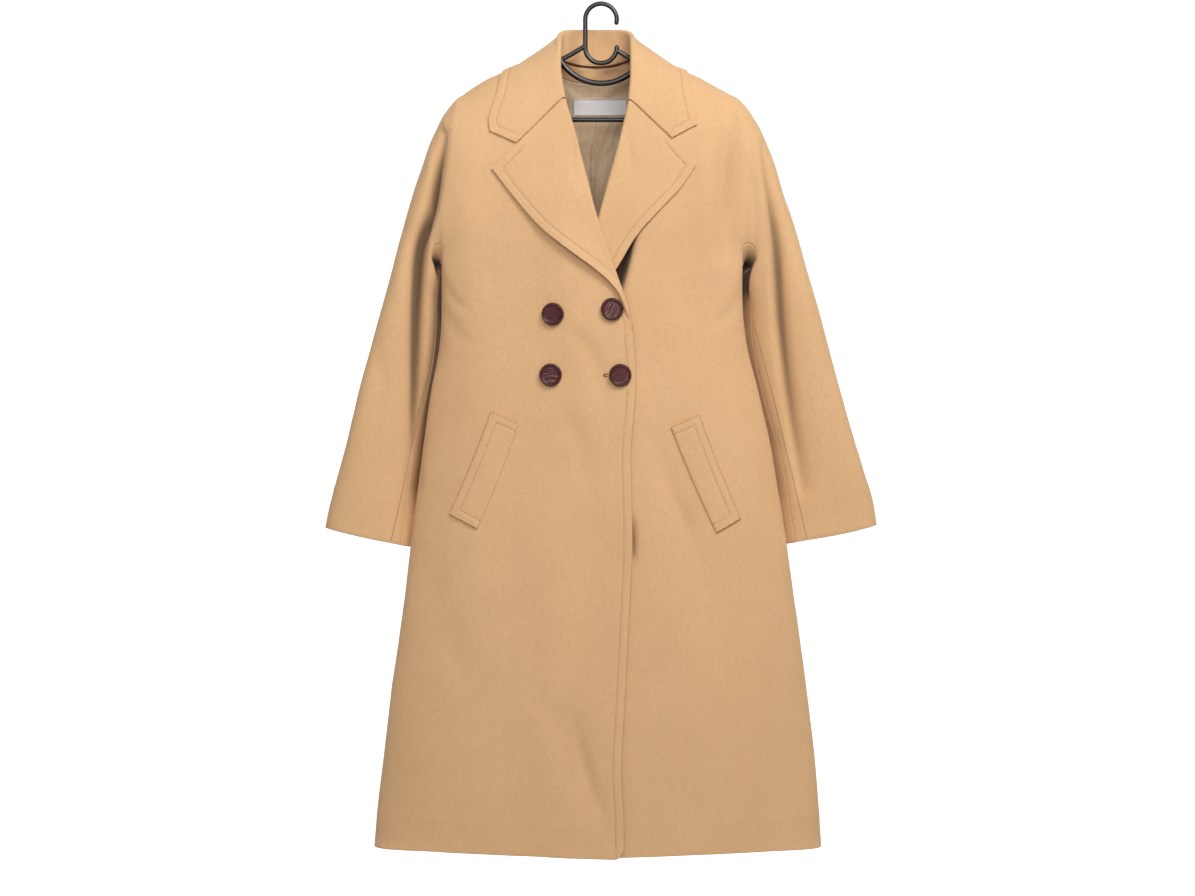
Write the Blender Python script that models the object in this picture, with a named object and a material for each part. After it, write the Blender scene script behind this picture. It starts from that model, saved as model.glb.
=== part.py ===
"""Double-breasted wool overcoat with cut-on sleeves, hanging on a plastic hanger.

All sizes are in millimetres until a mesh is made. +X is the viewer's right, the coat's front faces -Y
and +Z is up. The origin is the inside of the hanger's hook, where a rail carries it. "right" and "left"
in names are the wearer's: the wearer's right is on the viewer's left, at -X, and it overlaps on top.

The cloth is one surface made of grids that share their seam lines. Each cut piece takes its own faces of
that surface and gets a wall thickness, so that neighbours meet with an even gap. What lies on a panel
(lapels, collar, pocket welts, buttons) is measured off that panel and moved out.
"""

import math

import bmesh
import bpy
import numpy as np
from mathutils import Vector
from mathutils.bvhtree import BVHTree

MM = 0.001
CLOTH = 2.5
LINING = 1.5
FACING_THICK = 2.0
SEAM_GAP = 0.3
LAYER_GAP = 0.5
WELD = 0.05

CENTRE_X = -4.4
CENTRE_BACK_X = -6.0
POWER = 2.5
ARMHOLE_DEPTH = 50.0
CORNER = 0.78
CHEST_DEPTH = 52.0
ARMPIT_BLEND = 180.0
# Behind the armpit the sleeve hugs the body, this far from it.
ARMPIT_GAP = 1.8
HEM_SIDE_Z = -1217.0
HEM_CENTRE_Z = -1226.0

# One row for each level of the body: height, side edges, half depth in front and behind.
BODY_COLUMNS = ("z", "right_x", "left_x", "front", "back")
BODY = [
    (-1230.0, -329.5, 320.5, 62.0, 64.0),
    (-1130.0, -320.5, 313.3, 61.0, 62.0),
    (-1056.0, -312.0, 306.0, 60.0, 60.0),
    (-948.0, -297.5, 293.0, 58.0, 57.0),
    (-839.0, -283.0, 277.0, 56.0, 54.0),
    (-765.0, -274.5, 266.5, 55.0, 52.0),
    (-700.0, -265.5, 256.5, 54.0, 50.0),
    (-633.0, -256.5, 245.0, 54.0, 49.0),
    (-571.0, -248.5, 231.0, 54.0, 48.0),
    (-515.0, -239.5, 219.0, 53.0, 48.0),
    (-455.0, -232.5, 209.5, 52.0, 48.0),
    (-400.0, -231.0, 205.0, 51.0, 49.0),
    (-340.0, -230.5, 204.5, 50.0, 50.0),
]

# One row for each ring of a sleeve, from the armhole to the cuff: the outer (overarm) and inner
# (underarm) points, half depth, depth of the ring's middle, and how far the inner side leans back.
SLEEVE_COLUMNS = ("outer_x", "outer_z", "inner_x", "inner_z", "depth", "middle_y", "lean")
SLEEVE_RIGHT = [
    (-207.0, -134.0, -230.5, -381.0, 50.0, 0.0, 0.0),
    (-218.5, -146.5, -232.6, -374.0, 49.6, 0.2, 0.2),
    (-228.2, -160.0, -236.4, -371.5, 49.2, 0.6, 0.8),
    (-237.3, -178.0, -240.4, -374.0, 48.6, 1.4, 2.0),
    (-247.5, -200.0, -242.6, -382.0, 48.0, 2.5, 4.0),
    (-256.5, -226.0, -242.4, -394.0, 47.0, 4.0, 7.0),
    (-270.0, -266.0, -239.0, -413.0, 45.0, 8.0, 12.0),
    (-285.5, -322.0, -233.0, -446.0, 41.0, 12.0, 18.0),
    (-302.0, -382.0, -231.5, -484.0, 38.0, 14.0, 21.0),
    (-317.5, -440.0, -235.0, -524.0, 36.0, 14.0, 21.0),
    (-333.5, -498.5, -242.0, -567.0, 35.0, 14.0, 20.0),
    (-349.3, -556.5, -249.5, -612.0, 34.0, 14.0, 19.0),
    (-364.0, -614.5, -257.5, -656.0, 33.0, 13.5, 18.0),
    (-379.0, -672.0, -265.5, -702.0, 32.0, 13.0, 16.0),
    (-391.5, -718.0, -274.5, -745.0, 31.5, 12.0, 13.0),
    (-399.5, -756.0, -285.5, -784.5, 31.0, 11.0, 10.0),
]
SLEEVE_LEFT = [
    (198.0, -134.0, 204.5, -381.0, 50.0, 0.0, 0.0),
    (209.5, -146.0, 207.4, -373.6, 49.6, 0.2, 0.2),
    (219.0, -160.0, 212.4, -370.8, 49.2, 0.6, 0.8),
    (229.3, -178.0, 217.6, -374.0, 48.6, 1.4, 2.0),
    (239.2, -200.0, 220.4, -382.0, 48.0, 2.5, 4.0),
    (249.6, -226.0, 220.6, -394.0, 47.0, 4.0, 7.0),
    (262.3, -266.0, 217.0, -413.0, 45.0, 8.0, 12.0),
    (280.5, -322.0, 211.0, -446.0, 41.0, 12.0, 18.0),
    (297.0, -382.0, 209.0, -484.0, 38.0, 14.0, 21.0),
    (314.5, -440.0, 214.0, -524.0, 36.0, 14.0, 21.0),
    (330.6, -498.5, 223.5, -567.0, 35.0, 14.0, 20.0),
    (346.6, -556.5, 236.0, -612.0, 34.0, 14.0, 19.0),
    (362.5, -614.5, 251.5, -656.0, 33.0, 13.5, 18.0),
    (379.7, -672.0, 265.5, -701.0, 32.0, 13.0, 16.0),
    (393.5, -715.0, 277.5, -742.0, 31.5, 12.0, 13.0),
    (400.0, -752.0, 287.0, -780.5, 31.0, 11.0, 10.0),
]

# Shoulder line from the neck point to the shoulder point: x and z.
SHOULDER_RIGHT = [(-62.5, -68.0), (-110.0, -83.5), (-155.0, -101.0), (-185.0, -118.0), (-207.0, -134.0)]
SHOULDER_LEFT = [(47.0, -67.0), (92.0, -83.5), (136.0, -101.0), (174.0, -120.5), (198.0, -134.0)]

# Front edge and roll line, from the hem up to the neck point: z and x.
EDGE_RIGHT = [
    (-1230.0, 32.3), (-1170.0, 32.3), (-1120.0, 29.3), (-998.0, 34.0), (-857.0, 41.0), (-773.0, 44.4),
    (-707.0, 43.2), (-642.0, 42.3), (-577.0, 48.0), (-533.0, 49.2), (-489.0, 46.3), (-460.0, 43.0),
    (-430.0, 36.0), (-409.0, 28.4), (-359.0, 10.6), (-304.5, -7.2), (-242.5, -22.9), (-180.7, -38.7),
    (-140.6, -50.4), (-98.7, -56.7), (-68.0, -59.0),
]
EDGE_LEFT = [
    (-1230.0, -40.0), (-900.0, -39.0), (-700.0, -38.0), (-500.0, -38.0), (-440.0, -37.0), (-380.0, -23.5),
    (-308.0, -3.8), (-257.0, 10.2), (-206.0, 24.2), (-174.5, 32.0), (-143.6, 38.4), (-105.0, 41.5),
    (-67.0, 43.4),
]

# Lapels: outer edge from the tip to the break, x and z. The roll line is the front edge's table.
LAPEL_EDGE_RIGHT = [
    (-156.4, -242.5), (-124.3, -284.0), (-86.8, -327.0), (-48.4, -358.0), (-7.7, -388.0), (9.5, -407.0),
    (20.0, -425.0),
]
LAPEL_EDGE_LEFT = [
    (135.9, -238.0), (112.0, -272.0), (78.5, -307.0), (48.3, -342.5), (21.0, -387.0), (-5.0, -416.0),
    (-22.0, -446.0),
]
GORGE_Z = {"right": -140.6, "left": -143.6}
BREAK_Z = {"right": -427.0, "left": -444.0}
NOTCH = {"right": (-121.1, -206.2), "left": (101.8, -198.8)}
LAPEL_LIFT = {"right": (1.0, 8.0), "left": (0.5, 2.5)}

# Collar stations from the front end of the right half to the back centre: where the stand faces as an
# angle from the front, its foot, the middle of the rolled fold and the free edge.
COLLAR_COLUMNS = (
    "faces", "foot_x", "foot_y", "foot_z", "roll_x", "roll_y", "roll_z", "edge_x", "edge_y", "edge_z",
)
COLLAR_RIGHT = [
    (0.0, -61.8, -39.0, -140.6, -54.8, -43.2, -140.2, -159.5, -50.0, -188.8),
    (18.0, -62.5, -27.0, -101.0, -61.2, -35.5, -101.0, -160.5, -42.0, -168.0),
    (55.0, -56.8, -14.0, -73.5, -61.2, -17.0, -62.0, -149.0, -30.0, -133.0),
    (90.0, -60.5, 3.0, -66.5, -60.9, 4.0, -46.5, -139.5, -4.0, -98.0),
    (122.0, -55.0, 18.6, -74.5, -55.0, 22.0, -36.0, -122.0, 38.0, -112.0),
    (155.0, -33.2, 30.8, -79.8, -35.0, 37.0, -31.5, -78.0, 54.0, -125.0),
    (180.0, -8.0, 34.6, -81.5, -8.0, 41.5, -31.0, -8.0, 57.0, -124.0),
]
COLLAR_MIRROR_X = -8.0
COLLAR_INSIDE_Z = -96.0
COLLAR_LEFT_END = [
    (0.0, 49.8, -39.0, -143.6, 42.8, -43.2, -143.2, 137.5, -50.0, -180.0),
    (-15.0, 49.5, -29.0, -104.0, 45.9, -35.5, -104.0, 135.0, -42.0, -160.0),
    (-55.0, 42.5, -14.5, -73.5, 45.9, -17.0, -62.0, 128.0, -30.0, -130.0),
    (-90.0, 45.0, 3.0, -65.5, 45.4, 4.0, -46.5, 122.0, -4.0, -98.0),
]
ROLL_RADIUS = 4.4
NECK_TUCK = 5.0
FACING_DEPTH = 11.0

NECK_WIDTH = 51.0
NECK_DEPTH = 38.0
NECK_SIDE_Z = {"right": -68.0, "left": -67.0}
NECK_BACK_Z = -84.0
NECK_FACING = 24.0

# Pocket welts: the four corners x, z in order top outer, top inner, bottom inner, bottom outer.
WELT = {
    "right": [(-157.2, -588.0), (-117.0, -606.0), (-176.8, -756.2), (-217.7, -735.0)],
    "left": [(140.3, -592.8), (99.4, -610.7), (164.8, -762.2), (200.7, -741.6)],
}
WELT_THICK = 2.6

BUTTON_RADIUS = 16.0
BUTTON_FACETS = 18
# Buttons: x and z on the overlapping front. Each stands square to the cloth on its shank.
BUTTONS = [(-68.0, -450.0), (15.5, -443.5), (-71.5, -536.5), (27.0, -537.0)]
SHANK_GAP = 0.45
# Radius and height of the button's outline, from the shank's foot to the middle of the face.
BUTTON_PROFILE = [
    (0.0, 0.0), (2.6, 0.0), (2.6, 2.6), (12.5, 2.6), (15.4, 3.8), (16.0, 5.2), (14.6, 6.6), (0.0, 7.2),
]

LABEL = {"left_x": -41.5, "right_x": 39.5, "top_z": -128.5, "bottom_z": -154.0, "thick": 0.9}
LINING_FOOT_Z = -450.0

# Largest folds: path of x, z points, half width, depth (a trough is positive).
FOLDS = [
    ([(-235, -185), (-247, -262), (-261, -352), (-265, -470), (-270, -570), (-279, -700)], 14.0, 9.0),
    ([(-60, -640), (-22, -760), (-24, -900), (-30, -1010)], 38.0, 4.0),
    ([(-45, -1000), (-20, -1110), (5, -1190)], 22.0, 4.0),
    ([(-252, -800), (-225, -900), (-190, -985)], 26.0, 3.0),
    ([(-195, -170), (-200, -270), (-190, -420)], 26.0, -4.0),
    ([(240, -215), (252, -330), (258, -440), (268, -560), (290, -700)], 15.0, 10.0),
    ([(183, -150), (181, -260), (176, -360)], 17.0, 7.0),
    ([(152, -150), (150, -250), (160, -380)], 20.0, -4.0),
    ([(95, -600), (120, -720), (155, -840), (190, -960)], 34.0, 5.0),
    ([(70, -560), (75, -720), (65, -900)], 34.0, -4.0),
]

HANGER = {
    "rod": 3.5, "bow_rod": 4.2, "hook_radius": 22.8, "hook_end": -12.0, "neck_z": -60.0,
    "bow_radius": 69.0, "bow_centre_z": -43.0, "bow_end_z": -80.5,
}
# The hanger's arms from the neck loop to the bar: x and z. The shoulders rest on them.
ARM_RIGHT = [
    (-22.8, -58.0), (-58.0, -77.5), (-120.0, -100.0), (-180.0, -123.2), (-195.0, -133.0), (-202.0, -144.0),
    (-201.0, -157.0), (-193.0, -164.0),
]
ARM_LEFT = [
    (23.2, -64.5), (50.0, -79.0), (110.0, -101.0), (165.0, -123.3), (184.0, -134.0), (192.0, -145.0),
    (191.0, -157.0), (183.0, -164.0),
]

COLOURS = {
    "wool": ((0.62, 0.40, 0.22), 0.95, 0.0),
    "lining": ((0.28, 0.22, 0.16), 0.45, 0.0),
    "label": ((0.85, 0.85, 0.82), 0.6, 0.0),
    "button": ((0.09, 0.025, 0.022), 0.35, 0.0),
    "plastic": ((0.035, 0.03, 0.025), 0.4, 0.0),
}

# How finely each way of the coat's surface is drawn.
GRID = {"body_rows": 12, "side_columns": 3, "front_columns": 7, "upper_rows": 8}


def curve(keys, values, at):
    """A smooth curve through values at the rising keys (cubic Hermite with averaged slopes)."""
    keys = np.asarray(keys, float)
    values = np.asarray(values, float)
    at = np.asarray(at, float)
    slopes = np.gradient(values, keys, axis=0)
    i = np.clip(np.searchsorted(keys, at) - 1, 0, len(keys) - 2)
    step = keys[i + 1] - keys[i]
    t = (at - keys[i]) / step
    if values.ndim > 1:
        t, step = t[..., None], step[..., None]
    start = (2 * t**3 - 3 * t**2 + 1) * values[i] + (t**3 - 2 * t**2 + t) * step * slopes[i]
    end = (3 * t**2 - 2 * t**3) * values[i + 1] + (t**3 - t**2) * step * slopes[i + 1]
    return start + end


def through(points, at):
    """A smooth curve through points, evenly keyed, at shares from 0 to 1."""
    return curve(np.linspace(0, 1, len(points)), points, at)


def smoothstep(low, high, value):
    t = np.clip((np.asarray(value, float) - low) / (high - low), 0, 1)
    return t * t * (3 - 2 * t)


def superellipse(angle):
    """Cosine and sine of a squarish oval."""
    c, s = np.cos(angle), np.sin(angle)
    return np.sign(c) * np.abs(c) ** (2 / POWER), np.sign(s) * np.abs(s) ** (2 / POWER)


CORNER_ANGLE = math.pi - math.acos(CORNER ** (POWER / 2))
CORNER_SINE = (1 - CORNER**POWER) ** (1 / POWER)


def sleeve_point(side, ring, angle):
    """Point of a sleeve's ring. Angle 0 is the overarm, pi the underarm, and the front comes first."""
    rows = SLEEVE_RIGHT if side == "right" else SLEEVE_LEFT
    outer_x, outer_z, inner_x, inner_z, depth, middle_y, lean = curve(range(len(rows)), rows, ring)
    c, s = superellipse(angle)
    share = (1 - c) / 2
    y = middle_y + lean * (2 * share - 1) - depth * s
    away = abs(inner_x) - abs(body_side(side, inner_z)) - ARMPIT_GAP
    share_of_hug = (0.5 + 0.5 * smoothstep(3.0, 5.0, ring)) * smoothstep(0.3, 0.85, share)
    hug = max(0.0, away) * smoothstep(-10.0, 18.0, y) * share_of_hug
    x = outer_x + (inner_x - outer_x) * share - hug * np.sign(inner_x)
    return np.stack([x, y, outer_z + (inner_z - outer_z) * share], -1)


def body_side(side, z):
    """Where the body ends at one side at a height, in the front view."""
    rows = np.array(BODY)
    return float(curve(rows[:, 0], rows[:, 1 if side == "right" else 2], z))


def corner_point(side, facing):
    """Where body, sleeve and under-sleeve meet beside the armpit, at the front (-1) or the back (+1)."""
    angle = CORNER_ANGLE if facing < 0 else 2 * math.pi - CORNER_ANGLE
    return sleeve_point(side, 0.0, angle)


def edge_x(side, facing, z):
    """Where a panel ends towards the middle: front edge, roll line or centre back seam."""
    if facing > 0:
        return np.full(np.shape(z), CENTRE_BACK_X)
    rows = np.array(EDGE_RIGHT if side == "right" else EDGE_LEFT)
    tuck = (ROLL_RADIUS - 0.8) * smoothstep(BREAK_Z[side] - 40, BREAK_Z[side] - 4, z)
    tuck = tuck + NECK_TUCK * smoothstep(-125.0, -85.0, z)
    return curve(rows[:, 0], rows[:, 1], z) + (-tuck if side == "right" else tuck)


def body_oval(side, facing, z):
    """Centre, half width and half depth of the body at a height."""
    rows = np.array(BODY)
    found = curve(rows[:, 0], rows[:, 1:], z)
    right, left = found[..., 0], found[..., 1]
    depth = found[..., 2] if facing < 0 else found[..., 3]
    return (right + left) / 2, (left - right) / 2, depth


def overlap_lift(side, facing, x, z):
    """How far the overlapping front stands out over the other front and its lapel."""
    if facing > 0 or side == "left":
        return np.zeros(np.shape(x))
    across = smoothstep(-105.0, -45.0, x)
    down = smoothstep(-215.0, -290.0, z) * (1 - 0.5 * smoothstep(-460.0, -560.0, z))
    return 11.5 * across * down


def lower_grid(side, facing, rows, side_columns, front_columns):
    """The body below the armhole, side seam to front edge or centre back, hem first."""
    sign = -1.0 if side == "right" else 1.0
    corner = corner_point(side, facing)
    side_angles = np.linspace(0, math.pi - CORNER_ANGLE, side_columns + 1)
    shares = np.linspace(0, 1, front_columns + 1)[1:]
    grid = []
    for row in np.linspace(0, 1, rows + 1):
        line = []
        for angle in side_angles:
            loop_angle = math.pi - angle if facing < 0 else math.pi + angle
            top = sleeve_point(side, 0.0, loop_angle)
            z = HEM_SIDE_Z + (top[2] - HEM_SIDE_Z) * row
            centre, width, depth = body_oval(side, facing, z)
            c, s = superellipse(angle)
            low = np.array([centre + sign * width * c, facing * depth * s, z])
            blend = smoothstep(top[2] - ARMPIT_BLEND, top[2], z)
            line.append(low * (1 - blend) + np.array([top[0], top[1], z]) * blend)
        for u in shares:
            hem = HEM_SIDE_Z + (HEM_CENTRE_Z - HEM_SIDE_Z) * u
            z = hem + (corner[2] - hem) * row
            blend = smoothstep(corner[2] - ARMPIT_BLEND, corner[2], z)
            centre, width, depth = body_oval(side, facing, z)
            start = (centre + sign * width * CORNER) * (1 - blend) + corner[0] * blend
            x = start + (edge_x(side, facing, z) - start) * u
            across = min(abs(x - centre) / width, 1.0)
            low_y = depth * (1 - across**POWER) ** (1 / POWER)
            y = low_y * (1 - blend) + chest_depth(u) * blend
            line.append(np.array([x, facing * y, z]))
        grid.append(line)
    return np.array(grid)


def chest_depth(u):
    """Depth of the chest at the armhole's foot, from the corner to the middle."""
    start = CORNER_SINE * ARMHOLE_DEPTH
    return start + (CHEST_DEPTH - start) * math.sin(math.pi / 2 * min(1.0, u / 0.55))


def neckline(side, turn):
    """The back neck seam, from the neck point (0) to the centre back (1)."""
    sign = -1.0 if side == "right" else 1.0
    neck_x = float(edge_x(side, -1, NECK_SIDE_Z[side]))
    angle = np.asarray(turn, float) * math.pi / 2
    width = abs(neck_x - CENTRE_BACK_X)
    return np.stack(
        [
            CENTRE_BACK_X + sign * width * np.cos(angle),
            NECK_DEPTH * np.sin(angle),
            NECK_SIDE_Z[side] + (NECK_BACK_Z - NECK_SIDE_Z[side]) * np.sin(angle),
        ],
        -1,
    )


def upper_grid(side, facing, rows, columns):
    """The body above the armhole's foot, as a patch between its four edges."""
    corner = corner_point(side, facing)
    angles = np.linspace(CORNER_ANGLE, 0, rows + 1)
    up = np.linspace(0, 1, rows + 1)
    across = np.linspace(0, 1, columns + 1)
    armhole = sleeve_point(side, 0.0, angles if facing < 0 else 2 * math.pi - angles)
    shoulder = np.array(SHOULDER_RIGHT if side == "right" else SHOULDER_LEFT)[::-1]
    shoulder[-1, 0] = edge_x(side, -1, NECK_SIDE_Z[side])
    top_xz = through(shoulder, across)
    top = np.stack([top_xz[:, 0], np.zeros(columns + 1), top_xz[:, 1]], -1)
    if facing < 0:
        z = corner[2] + (NECK_SIDE_Z[side] - corner[2]) * up
        y = -CHEST_DEPTH * (1 - up**3.2) ** (1 / 3.2)
        middle = np.stack([edge_x(side, facing, z), y, z], -1)
    else:
        knee = 0.5
        z = corner[2] + (NECK_BACK_Z - corner[2]) * np.minimum(up / knee, 1)
        y = CHEST_DEPTH + (NECK_DEPTH - CHEST_DEPTH) * np.minimum(up / knee, 1) ** 3
        middle = np.stack([np.full(rows + 1, CENTRE_BACK_X), y, z], -1)
        turning = up > knee
        middle[turning] = neckline(side, 1 - (up[turning] - knee) / (1 - knee))
    foot = lower_grid(side, facing, 1, 1, columns)[-1][1:]
    grid = []
    for r, f in enumerate(up):
        line = []
        for c, u in enumerate(across):
            sides = (1 - u) * armhole[r] + u * middle[r]
            ends = (1 - f) * foot[c] + f * top[c]
            corners = (1 - f) * ((1 - u) * foot[0] + u * foot[-1]) + f * ((1 - u) * top[0] + u * top[-1])
            line.append(sides + ends - corners)
        grid.append(line)
    return np.array(grid)


def sleeve_grid(side, first_angle, last_angle, columns, rings):
    """Part of a sleeve, armhole to cuff, between two angles round it."""
    angles = np.linspace(first_angle, last_angle, columns + 1)
    return np.array([sleeve_point(side, ring, angles) for ring in rings])


def coat_grids():
    """Every grid of the coat with the piece it belongs to and a direction that points out of the coat."""
    found = []
    rings = np.arange(len(SLEEVE_RIGHT), dtype=float)
    upper = GRID["upper_rows"]
    for side in ("right", "left"):
        for facing, word in ((-1, "front_"), (1, "back_")):
            out = (0, facing, 0)
            lower = lower_grid(side, facing, GRID["body_rows"], GRID["side_columns"], GRID["front_columns"])
            found.append((word + side, lower, out))
            found.append((word + side, upper_grid(side, facing, upper, GRID["front_columns"]), out))
            last = CORNER_ANGLE if facing < 0 else -CORNER_ANGLE
            found.append((word + side, sleeve_grid(side, 0.0, last, upper, rings), out))
        inner = (1 if side == "right" else -1, 0, 0)
        under = sleeve_grid(side, CORNER_ANGLE, 2 * math.pi - CORNER_ANGLE, 2 * GRID["side_columns"], rings)
        found.append(("under_sleeve_" + side, under, inner))
    return found


def add_grid(bm, grid, out, tag, layer):
    """Adds a grid's points and quads to a mesh, wound so that they face out."""
    rows, columns = grid.shape[:2]
    verts = [[bm.verts.new(p) for p in line] for line in grid]
    du = np.diff(grid, axis=1)[:-1]
    dv = np.diff(grid, axis=0)[:, :-1]
    flip = np.sum(np.cross(du, dv) @ np.array(out, float)) < 0
    for r in range(rows - 1):
        for c in range(columns - 1):
            quad = [verts[r][c], verts[r][c + 1], verts[r + 1][c + 1], verts[r + 1][c]]
            face = bm.faces.new(quad[::-1] if flip else quad)
            face[layer] = tag


def fold_depth(x, z):
    """Sum of the soft folds at a point: each is a trough or ridge along its path that fades at its ends."""
    depth = 0.0
    for path, width, height in FOLDS:
        line = through(path, np.linspace(0, 1, 40))
        apart = np.hypot(line[:, 0] - x, line[:, 1] - z)
        nearest = int(np.argmin(apart))
        share = nearest / (len(line) - 1)
        fade = math.sin(math.pi * min(1.0, max(0.0, 0.06 + 0.88 * share))) ** 0.6
        depth += height * fade * math.exp(-((apart[nearest] / width) ** 2))
    return depth


def coat_surface():
    """The whole coat as one welded surface. Returns the mesh, the piece of each face and its names."""
    bm = bmesh.new()
    layer = bm.faces.layers.int.new("piece")
    names = []
    for name, grid, out in coat_grids():
        if name not in names:
            names.append(name)
        side = "right" if name.endswith("right") else "left"
        if name.startswith("front"):
            grid[..., 1] -= overlap_lift(side, -1, grid[..., 0], grid[..., 2])
        add_grid(bm, grid, out, names.index(name), layer)
    bmesh.ops.remove_doubles(bm, verts=bm.verts, dist=WELD)
    soften(bm, 3)
    bm.normal_update()
    moves = []
    for v in bm.verts:
        front = max(0.0, -v.normal.y)
        moves.append((v, v.normal * -fold_depth(v.co.x, v.co.z) * front))
    for v, move in moves:
        v.co += move
    bmesh.ops.triangulate(bm, faces=bm.faces)
    bm.normal_update()
    return bm, layer, names


def soften(bm, times):
    """Evens out the depth of inner points, so that the grids meet without a crease."""
    inner = [v for v in bm.verts if not v.is_boundary]
    for _ in range(times):
        new = [sum(e.other_vert(v).co.y for e in v.link_edges) / len(v.link_edges) for v in inner]
        for v, y in zip(inner, new, strict=True):
            v.co.y += 0.35 * (y - v.co.y)


def shell(name, points, faces, thick, material, normals=None, gap=SEAM_GAP, parent=None):
    """One closed wall: the given surface outside, the same surface moved in by the thickness behind it."""
    points = np.array(points, float)
    faces = [list(f) for f in faces]
    if normals is None:
        normals = surface_normals(points, faces)
    edges = {}
    for f in faces:
        for a, b in zip(f, f[1:] + f[:1], strict=True):
            edges[(a, b)] = True
    rim = [(a, b) for a, b in edges if (b, a) not in edges]
    inward = np.zeros_like(points)
    for a, b in rim:
        side = np.cross(normals[a] + normals[b], points[b] - points[a])
        side /= max(np.linalg.norm(side), 1e-9)
        inward[a] += side
        inward[b] += side
    length = np.linalg.norm(inward, axis=1, keepdims=True)
    inward = np.where(length > 1e-9, inward / np.maximum(length, 1e-9), 0)
    outer = points + inward * gap * 0.55
    inner = outer - normals * thick + inward * gap * 1.6
    count = len(points)
    all_faces = faces + [[i + count for i in reversed(f)] for f in faces]
    all_faces += [[b, a, a + count, b + count] for a, b in rim]
    return make_object(name, np.vstack([outer, inner]), all_faces, material, parent)


def surface_normals(points, faces):
    """Area-weighted normals of an open surface."""
    normals = np.zeros_like(points)
    for f in faces:
        p = points[f]
        n = np.cross(p[2] - p[0], p[-1] - p[1])
        for i in f:
            normals[i] += n
    return normals / np.maximum(np.linalg.norm(normals, axis=1, keepdims=True), 1e-9)


def grid_shell(name, grid, out, thick, material, gap=SEAM_GAP):
    """A closed wall from a grid of outer points."""
    rows, columns = grid.shape[:2]
    du = np.diff(grid, axis=1)[:-1]
    dv = np.diff(grid, axis=0)[:, :-1]
    flip = np.sum(np.cross(du, dv) @ np.array(out, float)) < 0
    faces = []
    for r in range(rows - 1):
        for c in range(columns - 1):
            i = r * columns + c
            quad = [i, i + 1, i + columns + 1, i + columns]
            faces.append(quad[::-1] if flip else quad)
    return shell(name, grid.reshape(-1, 3), faces, thick, material, gap=gap)


def material_for(kind):
    """A plain surface with the kind's colour, roughness and metallic value."""
    found = bpy.data.materials.get(kind)
    if found:
        return found
    colour, roughness, metallic = COLOURS[kind]
    made = bpy.data.materials.new(kind)
    made.use_nodes = True
    surface = made.node_tree.nodes["Principled BSDF"]
    surface.inputs["Base Color"].default_value = (*colour, 1)
    surface.inputs["Roughness"].default_value = roughness
    surface.inputs["Metallic"].default_value = metallic
    made.diffuse_color = (*colour, 1)
    return made


def make_object(name, points, faces, kind, parent=None):
    """A mesh object in metres, smooth shaded with its hard edges kept sharp."""
    mesh = bpy.data.meshes.new(name)
    mesh.from_pydata([tuple(float(x) * MM for x in p) for p in points], [], [list(map(int, f)) for f in faces])
    mesh.validate()
    mesh.materials.append(material_for(kind))
    mesh.shade_smooth()
    mesh.set_sharp_from_angle(angle=math.radians(50))
    made = bpy.data.objects.new(name, mesh)
    bpy.context.scene.collection.objects.link(made)
    made.parent = parent
    return made


def cut_pieces(bm, layer, names):
    """Cuts the coat's surface into its sewn pieces and gives each its wall."""
    bm.verts.index_update()
    for tag, name in enumerate(names):
        faces = [f for f in bm.faces if f[layer] == tag]
        verts = sorted({v.index for f in faces for v in f.verts})
        local = {v: i for i, v in enumerate(verts)}
        bm.verts.ensure_lookup_table()
        points = [tuple(bm.verts[v].co) for v in verts]
        normals = np.array([tuple(bm.verts[v].normal) for v in verts])
        shell(name, points, [[local[v.index] for v in f.verts] for f in faces], CLOTH, "wool", normals)


def tree_of(bm, layer, wanted):
    """A search tree over some pieces' outer surface."""
    faces = [f for f in bm.faces if wanted is None or f[layer] in wanted]
    verts = {}
    for f in faces:
        for v in f.verts:
            verts.setdefault(v.index, len(verts))
    bm.verts.ensure_lookup_table()
    points = [bm.verts[i].co.copy() for i in verts]
    return BVHTree.FromPolygons(points, [[verts[v.index] for v in f.verts] for f in faces])


def depth_at(tree, x, z, facing=-1):
    """The y of a panel's outer surface behind a point of the front or back view."""
    hit = tree.ray_cast(Vector((x, facing * 500, z)), Vector((0, -facing, 0)))[0]
    if hit is None:
        near = tree.find_nearest(Vector((x, facing * 50, z)))[0]
        return near.y
    return hit.y


def lapel(side, tree):
    """A lapel: its facing starts inside, wraps round the roll line and lies on the front."""
    rows = np.array(LAPEL_EDGE_RIGHT if side == "right" else LAPEL_EDGE_LEFT)
    edge_rows = np.array(EDGE_RIGHT if side == "right" else EDGE_LEFT)
    low_lift, high_lift = LAPEL_LIFT[side]
    grid = []
    for v in np.linspace(0, 1, 15):
        roll_z = GORGE_Z[side] + (BREAK_Z[side] - GORGE_Z[side]) * v
        roll, ahead = (np.array([curve(edge_rows[:, 0], edge_rows[:, 1], z), z]) for z in (roll_z, roll_z - 2))
        along = unit(ahead - roll)
        across = np.array([along[1], -along[0]]) * (1 if side == "right" else -1)
        lift = low_lift + (high_lift - low_lift) * math.sin(math.pi * v) ** 2
        grid.append(flap_section(tree, roll, across, through(rows, v), lift))
    grid = np.array(grid)
    settle(tree, grid, 5, CLOTH + 2 * LAYER_GAP)
    settle(tree, grid, 0, 2 * CLOTH + 2 * LAYER_GAP, -1, 1)
    return grid_shell("lapel_" + side, grid, (0, -1, 0), CLOTH, "wool", gap=SEAM_GAP)


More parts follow.
